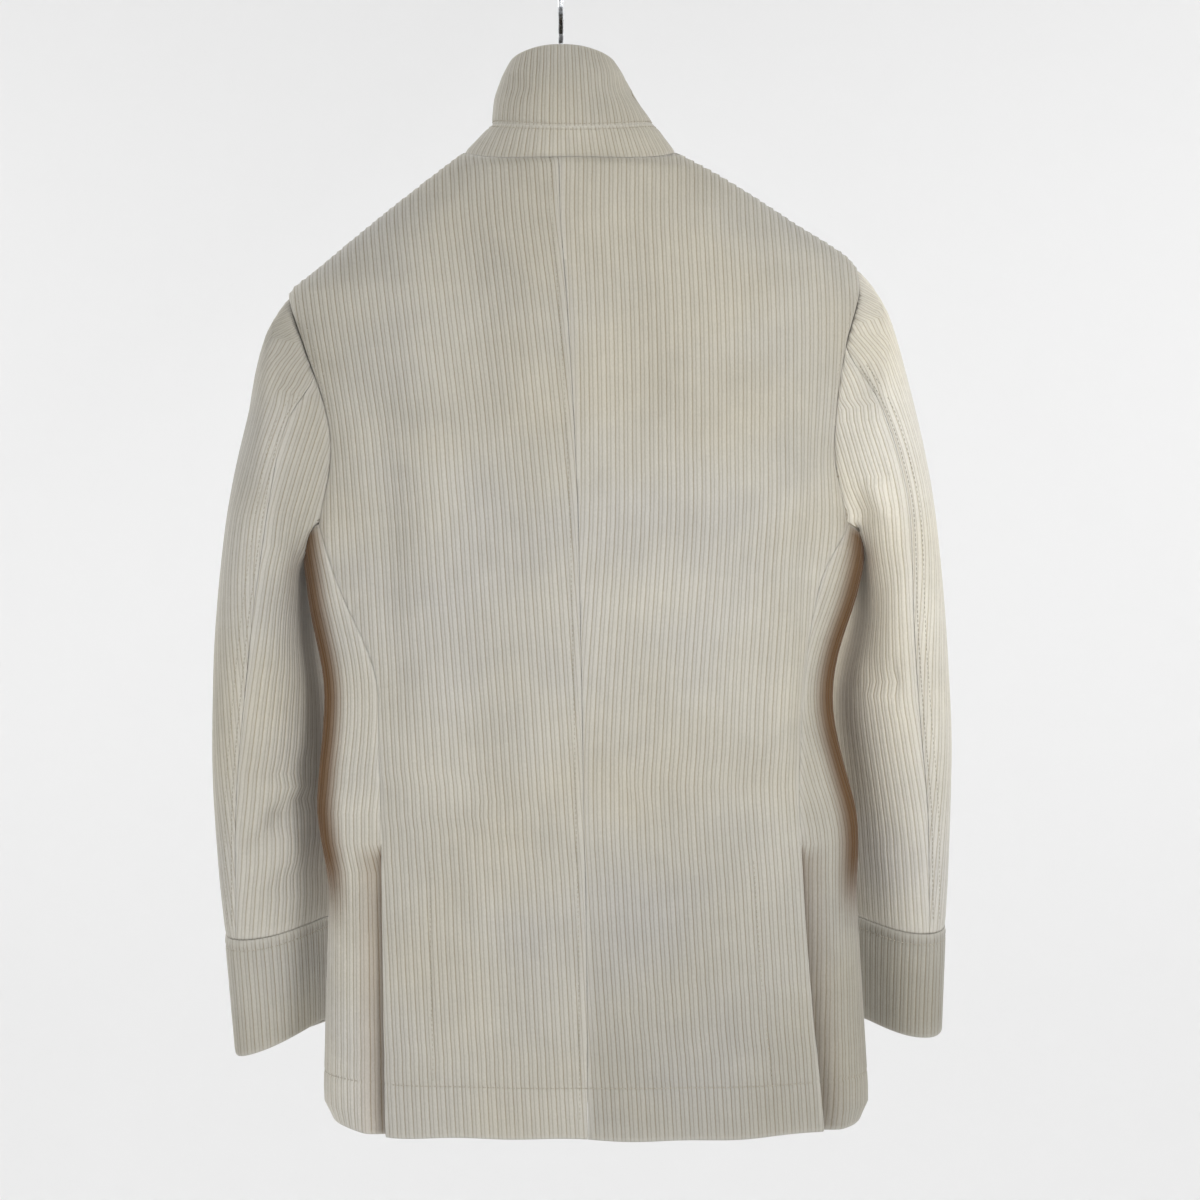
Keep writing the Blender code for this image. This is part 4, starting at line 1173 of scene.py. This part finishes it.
def sleeve_tube(side):
    """A sleeve as level rows, each from the fore arm by way of the outer arm to the hind arm.

    Its wales hang upright from the sleeve head, so the rows are level cuts and not loops round the
    armhole. A row above the underarm stops at the armhole's edges.
    """
    loops, facing, wanted, level_cuts_end = arm_surface(side)
    half = LOOP_STEPS // 2
    field = np.concatenate([loops, facing], axis=2)[:, np.arange(-half, half + 1) % LOOP_STEPS]
    fall = np.maximum.accumulate(-field[:, :, 2], axis=0)
    hole = field[0, :, 2]
    tip, end = hole[half], SLEEVES[side][-2].z_in
    # The rows lie close over the sleeve head and round the underarm, and wider down the arm.
    heights = [tip - 0.5 * step**1.6 for step in range(1, 17)] + list(np.arange(tip - 50.0, -436.0, -9.0))
    heights += list(np.arange(-440.0, -496.0, -5.0)) + list(np.arange(-505.0, end - 5.0, -11.0)) + [end]
    heights = np.array(sorted((height for height in set(heights) if height >= end), reverse=True))
    cuts = np.empty((len(heights), LOOP_STEPS + 1, 6))
    for column in range(LOOP_STEPS + 1):
        for part in range(6):
            cuts[:, column, part] = np.interp(-heights, fall[:, column], field[:, column, part])

    rows = []
    for number, height in enumerate(heights):
        open_at = np.nonzero(hole >= height)[0]
        first, last = open_at[0], open_at[-1]
        row = cuts[number, first : last + 1]
        if first > 0:
            row = np.vstack([edge_between(field[0, first - 1], field[0, first], height), row])
        if last < LOOP_STEPS:
            row = np.vstack([row, edge_between(field[0, last + 1], field[0, last], height)])
        rows.append((row, half - first + int(first > 0)))
    below = [number for number, level in enumerate(wanted) if level > level_cuts_end + 0.5]
    rows += [(field[number], half) for number in below]
    levels = np.concatenate([heights[0] - heights, heights[0] - end + wanted[below] - level_cuts_end])

    lengths, girths = [], []
    for row, outer in rows:
        length = lengths_along(row[:, :3])
        lengths.append(length - length[outer])
        girths.append(length[-1])
    ends_apart = [np.linalg.norm(row[0, :3] - row[-1, :3]) for row, _ in rows]
    closed = next(number for number, apart in enumerate(ends_apart) if apart < 0.01)
    girths[:closed] = [girths[closed]] * closed
    points = [row[:, :3] for row, _ in rows]
    return ClothTube(levels, points, [row[:, 3:] for row, _ in rows], lengths, np.array(girths))


def seam_lengths(tube, table, outward):
    """Lengths round a sleeve from its outer line to a seam that is given as seen from behind."""
    heights, places = zip(*table)
    found = []
    for row, (points, lengths) in enumerate(zip(tube.points, tube.lengths)):
        x = float(flow(heights, places, np.clip(points[:, 2].mean(), heights[-1], heights[0]))[0])
        behind = (lengths >= 0.0) & (lengths <= tube.girths[row] / 2)
        far = points[behind, 0] * outward
        at = int(np.nonzero(far >= x * outward)[0][-1]) if np.any(far >= x * outward) else 0
        length = lengths[behind]
        if at + 1 < len(far):
            share = (far[at] - x * outward) / (far[at] - far[at + 1])
            found.append(length[at] + share * (length[at + 1] - length[at]))
        else:
            found.append(length[at])
    return np.array(found)


def beside_body(tube, outward):
    """How much painted shade falls on points of a sleeve in the hollow beside the body."""

    def measure(number, along, row, point):
        across = tube.points[row][:, 0] * outward
        share = (point[:, 0] * outward - across.min()) / (across.max() - across.min())
        near = ease((INNER_SHADE_FROM - share) / (INNER_SHADE_FROM - INNER_SHADE_FULL))
        return INNER_SHADE * near * in_hollow(point[:, 2] + SLEEVE_HOLLOW_DROP)

    return measure


for side, outward in OUTWARD.items():
    tube = sleeve_tube(side)
    rows = np.arange(len(tube.levels))
    back_end = np.array([lengths[-1] for lengths in tube.lengths])
    front_end = np.array([lengths[0] for lengths in tube.lengths])
    hind = seam_lengths(tube, HIND_SEAM[side], outward)
    meets = int(np.nonzero(hind < back_end - 0.5)[0][0])
    steady = np.where(rows < meets, hind[meets], hind)
    fore = steady - TOP_SLEEVE_SHARE * tube.girths
    top_end, top_start = np.minimum(hind, back_end), np.maximum(fore, front_end)
    sewn_in = {
        "rests_on": [f"back_{side}", f"front_{side}"], "band": SLEEVE_BAND, "hidden": beside_body(tube, outward)
    }
    cut_panel(
        f"cloth_top_sleeve_{side}", f"top_sleeve_{side}", tube, rows, top_start + half_gap, top_end - half_gap,
        np.zeros(len(rows)), **sewn_in,
    )
    under_end = np.maximum(fore, front_end) + tube.girths
    closed = int(np.nonzero(back_end - front_end > tube.girths - SEAM_GAP)[0][0])
    middle = (top_end + under_end) / 2
    middle[:closed] = middle[closed]
    first = min(meets, int(np.nonzero(fore > front_end + 0.5)[0][0])) - 1
    below = rows[first:]
    cut_panel(
        f"cloth_under_sleeve_{side}", f"under_sleeve_{side}", tube, below, top_end[below] + half_gap,
        under_end[below] - half_gap, middle[below], **sewn_in,
    )
    sewn = rows[meets + 1 : -3]
    runs = [[(tube.levels[row], hind[row] - inset) for row in sewn] for inset in SLEEVE_STITCHES]
    sew(f"stitches_hind_arm_{side}", tube, runs, sink=0.35)

# ---------------------------------------------------------------------------------------------------
# The cuffs: a deep band of the same corduroy, sewn to the sleeve's end and turned in at the wrist.

CUFFS = {
    "left": [ArmLoop(279.5, -793, 198.5, -784, -54, 51, 22), ArmLoop(271, -896, 201, -873, -62, 49, 22)],
    "right": [ArmLoop(-318.5, -784, -250.5, -784, -54, 52, 22), ArmLoop(-316, -873, -256, -872, -62, 50, 22)],
}
CUFF_ROW = 12.0
CUFF_STITCH = 9.0
CUFF_SEAM_TURN = 38.0

for side in OUTWARD:
    rows = np.array([arm_outline(CUFFS[side][0]), arm_outline(CUFFS[side][1], CUFF_CORNER)])
    rows[0] -= np.array([0.0, 0.0, SEAM_GAP])
    deep = float(np.linalg.norm(rows[1].mean(axis=0) - rows[0].mean(axis=0)))
    near_seam = [0.0, 2.0, 4.5, 6.8, CUFF_STITCH, 11.4]
    near_edge = [deep - length for length, _ in EDGE_ROLL[::-1]]
    wanted = np.concatenate([near_seam, np.arange(2 * CUFF_ROW, deep - 5.0, CUFF_ROW), near_edge])
    share = (wanted / deep)[:, None, None]
    loops = rows[0] + share * (rows[1] - rows[0])
    settled = ease(share * deep / 20.0) * 0.9
    loops = drift(loops, face_out(loops) * settled, 1.4)
    tube = close_tube(wanted, loops)
    seam = int(round(CUFF_SEAM_TURN / 360.0 * LOOP_STEPS))
    tube.lengths = tube.lengths - tube.lengths[:, seam : seam + 1]

    def pressed_cuff(number, along, wanted=wanted):
        return np.full(len(along), abs(wanted[number] - CUFF_STITCH))

    cut_panel(
        f"cloth_cuff_{side}", f"cuff_{side}", tube, np.arange(len(wanted)),
        np.full(len(wanted), half_gap), tube.girths - half_gap, np.zeros(len(wanted)), ("bottom",),
        rests_on=[f"top_sleeve_{side}"], pressed=pressed_cuff,
    )
    run = np.linspace(3.0, tube.girths[0] - 3.0, 80)
    sew(f"stitches_cuff_{side}", tube, [[(CUFF_STITCH, along) for along in run]])

# ---------------------------------------------------------------------------------------------------
# The collar: a stand on the neck seam and a leaf above it, both turned up and open at the centre
# front. The leaf leans in to the neck and its edge is highest at the back.

CollarLoop = namedtuple("CollarLoop", "left right back front z_back z_side z_front")
COLLAR = [
    CollarLoop(42, -44, 48, -97, -57, -64, -92),
    CollarLoop(50, -54, 56, -88, -80, -79, -121),
    CollarLoop(56, -64, 60, -78, -104, -97, -152),
    CollarLoop(58, -78, 60, -67, -127, -117, -184),
]
COLLAR_FRONT_GAP = 6.0
COLLAR_ROW = 5.0
COLLAR_STITCH = 3.2
COLLAR_SQUARE = 2.1
# The x of the collar's middle at the back, and how steeply its edge is domed there.
COLLAR_MIDDLE = 2.0
COLLAR_DOME = 1.8


def collar_outline(row):
    """One loop of the collar, from the middle of the back seam."""
    middle, half = (row.left + row.right) / 2, (row.left - row.right) / 2
    first = math.asin(((COLLAR_MIDDLE - middle) / half) ** (COLLAR_SQUARE / 2))
    turn = first + np.linspace(0.0, 2.0 * math.pi, LOOP_STEPS, endpoint=False)
    x = middle + half * power(np.sin(turn), 2 / COLLAR_SQUARE)
    depth = np.where(np.cos(turn) > 0, row.back, -row.front)
    y = depth * power(np.cos(turn), 2 / COLLAR_SQUARE)
    to_back = np.clip(y / row.back, 0.0, 1.0) ** COLLAR_DOME
    to_front = ease(y / row.front)
    z = row.z_side + (row.z_back - row.z_side) * to_back + (row.z_front - row.z_side) * to_front
    return np.stack([x, y, z], axis=1)


# Dents of the leaf, where the cloth has been crushed: x and z as seen from behind, width and depth.
COLLAR_DENTS = (
    (34.0, -92.0, 13.0, -3.2), (20.0, -76.0, 10.0, -1.6), (-54.0, -92.0, 15.0, -2.6), (-36.0, -80.0, 11.0, 1.6),
)


def dent(loops):
    """Press the dents into the collar's back."""
    facing = face_out(loops)
    moved = loops.copy()
    for x, z, width, depth in COLLAR_DENTS:
        apart = np.hypot(loops[..., 0] - x, (loops[..., 2] - z) * 1.4)
        shape = np.exp(-((apart / width) ** 2)) * (loops[..., 1] > 0.0)
        moved += facing * (depth * shape)[..., None]
    return moved


# The stand ends just inside and below the body's neck edge, and starts below the leaf.
NECK_INSET, NECK_BELOW = 0.8, 0.9
LEAF_GAP = 0.6
seam_step = int(round(np.interp(0.0, body.lengths[0], np.arange(LOOP_STEPS + 1))))
neck_turned = np.roll(body_surface[0], -seam_step, axis=0)
neck_inward = (neck_turned.mean(axis=0) - neck_turned) * (1.0, 1.0, 0.0)
neck_inward /= np.linalg.norm(neck_inward, axis=1)[:, None]
neck_loop = neck_turned + neck_inward * NECK_INSET - (0.0, 0.0, NECK_BELOW)
seam_loop = collar_outline(COLLAR[-1])
leaf_loops = [collar_outline(row) for row in COLLAR[:-1]] + [seam_loop - (0.0, 0.0, LEAF_GAP)]
collar_parts = {
    "leaf": (leaf_loops, ("start", "end", "top")),
    "stand": ([seam_loop, neck_loop], ("start", "end")),
}
for part, (loops, turned) in collar_parts.items():
    rows = np.array(loops)
    falls = np.linalg.norm(np.diff(rows, axis=0), axis=2).mean(axis=1)
    levels = np.concatenate([[0.0], np.cumsum(falls)])
    near_edge = [length for length, _ in EDGE_ROLL]
    near_seam = levels[-1] - np.array([5.0, 3.2, 1.5, 0.0])
    wanted = np.concatenate([near_edge, np.arange(7.0, levels[-1] - 5.0, COLLAR_ROW), near_seam])
    tube = close_tube(wanted, dent(flow(levels, rows, wanted)))
    # Both halves are read as if they were as long as the lowest row's, so the wales lean with the sides.
    halves = [lengths[LOOP_STEPS // 2] for lengths in tube.lengths]
    tube.lengths = [
        np.interp(lengths, [0.0, half, lengths[-1]], [0.0, halves[-1], tube.girths[-1]])
        for lengths, half in zip(tube.lengths, halves)
    ]
    tube.girths = np.full(len(wanted), tube.girths[-1])
    start = np.full(len(wanted), halves[-1] - tube.girths[-1] + COLLAR_FRONT_GAP / 2)
    end = np.full(len(wanted), halves[-1] - COLLAR_FRONT_GAP / 2)
    stitched = wanted[-1] - COLLAR_STITCH if part == "leaf" else COLLAR_STITCH

    def pressed_collar(number, along, wanted=wanted, stitched=stitched):
        return np.full(len(along), abs(wanted[number] - stitched))

    cut_panel(
        f"cloth_collar_{part}", f"collar_{part}", tube, np.arange(len(wanted)), start, end,
        np.zeros(len(wanted)), turned, pressed=pressed_collar, band=3.5,
        rests_on=["collar_stand" if part == "leaf" else "back_left"],
    )
    runs = [[(stitched, along) for along in np.linspace(start[0] + 3.0, end[0] - 3.0, 90)]]
    sew(f"stitches_collar_{part}", tube, runs)

# ---------------------------------------------------------------------------------------------------
# The buttons: six large ones of polished brown horn, in two columns, each with a rolled rim and four
# holes. Two bars of thread hold each to the left front, and the outer column has buttonholes.

BUTTON_HEIGHTS = (-300.0, -410.0, -520.0)
BUTTON_COLUMNS = (30.0, -54.0)
BUTTON_STAND = 0.6
BUTTON_SIDES = 36
# From the edge of the dish over the rolled rim to the back, as radius and height.
BUTTON_RIM = (
    (9.2, 2.9), (10.6, 3.2), (11.6, 4.0), (12.6, 4.4), (13.5, 3.9), (14.0, 2.9), (13.8, 1.4), (12.6, 0.3),
    (9.2, 0.0),
)
HOLE_PLACE = 2.3
HOLE_RADIUS = 1.1
HOLE_SIDES = 12
BUTTONHOLE_LONG = 24.0
BUTTONHOLE_STITCH = 0.9
# A buttonhole's two rows of stitches: how far each lies from its middle, and a stitch's length and thickness.
BUTTONHOLE_OPEN = 1.15
BUTTONHOLE_BEAD = (2.1, 0.9)


def make_horn():
    """Polished horn: dark brown with drawn-out paler streaks and a clear shine."""
    material, surface = new_material("polished brown horn")
    place = add_node(material, "ShaderNodeTexCoord")
    drawn = add_node(
        material, "ShaderNodeMapping", Vector=(place, "Object"), Rotation=(0.0, 0.5, 0.0),
        Scale=(1 / 0.012, 1 / 0.004, 1 / 0.0035),
    )
    streaks = add_node(
        material, "ShaderNodeTexNoise", Vector=(drawn, "Vector"), Scale=1.0, Detail=4.0, Roughness=0.6,
        Distortion=0.8,
    )
    shades = add_node(material, "ShaderNodeValToRGB", Fac=(streaks, "Fac"))
    streak_colours = ((0.3, "#2A1A10"), (0.5, "#4A2F1C"), (0.62, "#7A5635"), (0.72, "#A07C52"))
    set_ramp(shades, [(at, hex_colour(code)) for at, code in streak_colours])
    # Fine scratches from wear break the shine.
    scratches = add_node(material, "ShaderNodeTexNoise", Vector=(place, "Object"), Scale=1 / 0.0012, Detail=3.0)
    shine = add_node(
        material, "ShaderNodeMapRange", Value=(scratches, "Fac"), From_Min=0.3, From_Max=0.7, To_Min=0.2,
        To_Max=0.36,
    )
    relief = add_node(material, "ShaderNodeBump", Strength=0.15, Distance=0.1 * MM, Height=(scratches, "Fac"))
    set_sockets(
        material, surface, Base_Color=(shades, "Color"), Roughness=(shine, "Result"), Normal=(relief, "Normal")
    )
    return material


horn = make_horn()


def add_ring(form, radius, height, sides, middle=(0.0, 0.0)):
    """A ring of points, level on a button."""
    centre = Vector((*middle, height))
    turns = [2.0 * math.pi * step / sides for step in range(sides)]
    rim = [centre + radius * Vector((math.cos(turn), math.sin(turn), 0.0)) for turn in turns]
    return [form.verts.new(point * MM) for point in rim]


def join_rings(form, upper, lower):
    """A band of faces between two rings."""
    for step in range(len(upper)):
        after = (step + 1) % len(upper)
        form.faces.new((upper[step], upper[after], lower[after], lower[step]))


def on_front(x, height):
    """The point of the coat's front at an x and a height, and the direction that it faces."""
    apart = np.hypot(body.points[..., 0] - x, body.points[..., 2] - height) + 1e6 * (body.points[..., 1] > 0.0)
    nearest = np.unravel_index(np.argmin(apart), apart.shape)
    return Vector((x, body.points[nearest][1], height)), Vector(body.facings[nearest]).normalized()


def make_button(name, node, x, height):
    """A horn button with its holes, flat against the front."""
    form = bmesh.new()
    rings = [add_ring(form, radius, level, BUTTON_SIDES) for radius, level in BUTTON_RIM]
    for upper, lower in zip(rings, rings[1:]):
        join_rings(form, upper, lower)
    holes = {}
    for level in (BUTTON_RIM[0][1], BUTTON_RIM[-1][1]):
        holes[level] = [
            add_ring(form, HOLE_RADIUS, level, HOLE_SIDES, (across, up))
            for across in (-HOLE_PLACE, HOLE_PLACE)
            for up in (-HOLE_PLACE, HOLE_PLACE)
        ]
        outlines = holes[level] + [rings[0] if level else rings[-1]]
        lines = [
            form.edges.get((ring[step - 1], ring[step])) or form.edges.new((ring[step - 1], ring[step]))
            for ring in outlines
            for step in range(len(ring))
        ]
        bmesh.ops.triangle_fill(form, use_beauty=True, edges=lines)
    for upper, lower in zip(*holes.values()):
        join_rings(form, upper, lower)
    bmesh.ops.recalc_face_normals(form, faces=form.faces)
    point, facing = on_front(x, height)
    right = Vector((1.0, 0.0, 0.0)) - facing * facing.x
    right.normalize()
    turned = Matrix((right, facing.cross(right), facing)).transposed().to_4x4()
    seat = Matrix.Translation((point + facing * BUTTON_STAND) * MM) @ turned
    bmesh.ops.transform(form, matrix=seat, verts=form.verts)
    piece = make_piece(name, form, horn)
    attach(piece, "root")
    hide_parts(node)

    bars = bmesh.new()
    for up in (-HOLE_PLACE, HOLE_PLACE):
        for strand in (-0.32, 0.32):
            middle = seat @ (Vector((0.0, up + strand, BUTTON_RIM[0][1] + 0.2)) * MM) / MM
            add_stitch(bars, middle, right, facing, 2.0 * HOLE_PLACE, 0.7)
    finish_thread(f"{name}_thread", bars)


button_places = [(height, x) for height in BUTTON_HEIGHTS for x in BUTTON_COLUMNS]
for number, (height, x) in enumerate(button_places, start=1):
    make_button(f"horn_button_{number}", f"button_{number}", x, height)

form = bmesh.new()
for height in BUTTON_HEIGHTS:
    for step in np.arange(0.0, BUTTONHOLE_LONG, BUTTONHOLE_STITCH):
        point, facing = on_front(BUTTON_COLUMNS[1] - 3.0 + step, height)
        for side in (-1.0, 1.0):
            middle = point - facing * 0.2 + Vector((0.0, 0.0, side * BUTTONHOLE_OPEN))
            add_stitch(form, middle, (0.0, 0.0, 1.0), facing, *BUTTONHOLE_BEAD)
finish_thread("stitches_buttonholes", form)

# ---------------------------------------------------------------------------------------------------
# The hanger: two shaped arms and a hub of varnished beech, which carry the shoulders from inside. It
# shows through the neck and from below, and keeps the shape that it has in the CAD model.


def make_beech():
    """Varnished beech: brown flecks drawn out along the grain, under a clear coat."""
    material, surface = new_material("varnished beech")
    place = add_node(material, "ShaderNodeTexCoord")
    # The grain runs along the arms, so it is drawn out along X.
    grain_at = add_node(
        material, "ShaderNodeMapping", Vector=(place, "Object"), Scale=(1 / 0.09, 1 / 0.006, 1 / 0.006)
    )
    grain = add_node(
        material, "ShaderNodeTexNoise", Vector=(grain_at, "Vector"), Scale=1.0, Detail=4.0, Roughness=0.6,
        Distortion=0.4,
    )
    wood = add_node(material, "ShaderNodeValToRGB", Fac=(grain, "Fac"))
    set_ramp(wood, [(0.3, hex_colour("#9A6B3E")), (0.5, hex_colour("#BC8A57")), (0.7, hex_colour("#CFA473"))])
    # Beech has short dark flecks, 3 mm long.
    flecks_at = add_node(
        material, "ShaderNodeMapping", Vector=(place, "Object"), Scale=(1 / 0.003, 1 / 0.0007, 1 / 0.0007)
    )
    flecks = add_node(material, "ShaderNodeTexNoise", Vector=(flecks_at, "Vector"), Scale=1.0, Detail=1.0)
    marked = add_node(material, "ShaderNodeValToRGB", Fac=(flecks, "Fac"))
    set_ramp(marked, [(0.62, hex_colour("#FFFFFF")), (0.72, hex_colour("#A9825C"))])
    colour = add_node(
        material, "ShaderNodeVectorMath", {"operation": "MULTIPLY"}, n0=(wood, "Color"), n1=(marked, "Color")
    )
    relief = add_node(material, "ShaderNodeBump", Strength=0.15, Distance=0.15 * MM, Height=(grain, "Fac"))
    set_sockets(
        material, surface, Base_Color=(colour, "Vector"), Normal=(relief, "Normal"), Roughness=0.42,
        Coat_Weight=0.6, Coat_Roughness=0.15,
    )
    return material


beech = make_beech()
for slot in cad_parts["hanger"].material_slots:
    slot.material = beech

# ---------------------------------------------------------------------------------------------------
# The hook: one length of plated steel wire, bent to hang on a rod and screwed into the hanger's hub.
# Only its stem shows above the collar.


def make_plated_steel():
    """Plated steel wire: bright and dark painted reflection in its colour, with the faint lines that drawing
    left along it.
    """
    material, surface = new_material("plated steel wire")
    place = add_node(material, "ShaderNodeTexCoord")
    lines_at = add_node(
        material, "ShaderNodeMapping", Vector=(place, "Object"), Scale=(1 / 0.0009, 1 / 0.0009, 1 / 0.02)
    )
    lines = add_node(material, "ShaderNodeTexNoise", Vector=(lines_at, "Vector"), Scale=1.0, Detail=3.0)
    shine = add_node(
        material, "ShaderNodeMapRange", Value=(lines, "Fac"), From_Min=0.3, From_Max=0.7, To_Min=0.16,
        To_Max=0.34,
    )
    # Painted reflection: the plating's colour is darker and brighter in spots a few millimetres across.
    painted_reflection_spots = add_node(material, "ShaderNodeTexNoise", Vector=(place, "Object"), Scale=1 / 0.005, Detail=3.0)
    shades = add_node(material, "ShaderNodeValToRGB", Fac=(painted_reflection_spots, "Fac"))
    plating_and_painted_reflection_colours = ((0.35, "#6E7073"), (0.55, "#A6A8AA"), (0.7, "#B9BBBC"))
    set_ramp(shades, [(at, hex_colour(code)) for at, code in plating_and_painted_reflection_colours])
    relief = add_node(material, "ShaderNodeBump", Strength=0.2, Distance=0.05 * MM, Height=(lines, "Fac"))
    set_sockets(
        material, surface, Base_Color=(shades, "Color"), Roughness=(shine, "Result"), Normal=(relief, "Normal"),
        Metallic=1.0,
    )
    return material


plated_steel = make_plated_steel()
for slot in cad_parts["hook"].material_slots:
    slot.material = plated_steel

# ---------------------------------------------------------------------------------------------------
# The room: a pale sweep that is floor and wall in one, a camera straight behind the coat at chest
# height, and soft lamps: the strongest on the camera's right, and one near the camera that reaches
# into the hollows beside the sleeves.

SWEEP_RADIUS = 4.6
SWEEP_BEND = 1.2
FLOOR_Z = -2.6
WALL_TOP = 2.4


def make_sweep():
    """Painted sweep: plain pale emulsion, without gloss."""
    material, surface = new_material("matt emulsion, pale grey")
    set_sockets(material, surface, Base_Color=hex_colour("#F1F1F1"), Roughness=1.0, Specular_IOR_Level=0.0)
    form = bmesh.new()
    profile = [(0.0, FLOOR_Z), (SWEEP_RADIUS - SWEEP_BEND, FLOOR_Z)]
    for step in range(1, 13):
        turn = math.pi / 2 * step / 12
        profile.append(
            (SWEEP_RADIUS - SWEEP_BEND * (1 - math.sin(turn)), FLOOR_Z + SWEEP_BEND * (1 - math.cos(turn)))
        )
    profile.append((SWEEP_RADIUS, WALL_TOP))
    verts = [form.verts.new((radius, 0.0, height)) for radius, height in profile]
    lines = [form.edges.new(pair) for pair in zip(verts, verts[1:])]
    bmesh.ops.spin(
        form, geom=verts + lines, axis=(0, 0, 1), cent=(0, 0, 0), angle=2 * math.pi, steps=96, use_merge=True
    )
    bmesh.ops.remove_doubles(form, verts=form.verts, dist=0.0001)
    bmesh.ops.recalc_face_normals(form, faces=form.faces)
    return make_piece("sweep", form, material)


make_sweep()


def hang_lamp(name, place, target, size, power_w):
    """A square softbox that faces the coat."""
    lamp = bpy.data.lights.new(name, "AREA")
    lamp.shape = "SQUARE"
    lamp.size = size
    lamp.energy = power_w
    made = bpy.data.objects.new(name, lamp)
    made.location = place
    made.rotation_euler = (Vector(target) - Vector(place)).to_track_quat("-Z", "Y").to_euler()
    bpy.context.scene.collection.objects.link(made)


hang_lamp("key lamp", (-1.45, 2.2, -0.2), (0.0, 0.0, -0.45), 0.8, 21.0)
hang_lamp("fill lamp", (1.7, 2.0, -0.2), (0.0, 0.0, -0.5), 1.4, 6.0)
hang_lamp("hollow lamp", (-0.1, 2.8, -0.3), (0.0, 0.0, -0.5), 1.0, 10.0)
hang_lamp("front key lamp", (2.2, -2.6, 1.3), (0.0, 0.0, -0.5), 1.8, 40.0)
hang_lamp("front fill lamp", (-2.4, -2.2, 1.0), (0.0, 0.0, -0.5), 1.8, 12.0)
for side, place in (("left", 2.5), ("right", -2.5)):
    hang_lamp(f"wall lamp {side}", (place, -1.5, 0.3), (-0.7 * place, -4.3, 0.1), 1.2, 34.0)

world = bpy.data.worlds.new("soft daylight")
world.use_nodes = True
world.node_tree.nodes["Background"].inputs["Color"].default_value = hex_colour("#FFFFFF")
world.node_tree.nodes["Background"].inputs["Strength"].default_value = 0.4
bpy.context.scene.world = world
bpy.context.scene.view_settings.view_transform = "Standard"

FRAME_PIXELS = 1200
FOCAL_PIXELS = 3111
SENSOR = 36.0
camera_data = bpy.data.cameras.new("camera")
camera_data.sensor_width = SENSOR
camera_data.lens = SENSOR * FOCAL_PIXELS / FRAME_PIXELS
camera = bpy.data.objects.new("camera", camera_data)
camera.location = (-0.0326, 2.6, -0.514)
camera.rotation_euler = (math.radians(90.0), 0.0, math.radians(180.0))
bpy.context.scene.collection.objects.link(camera)
bpy.context.scene.camera = camera
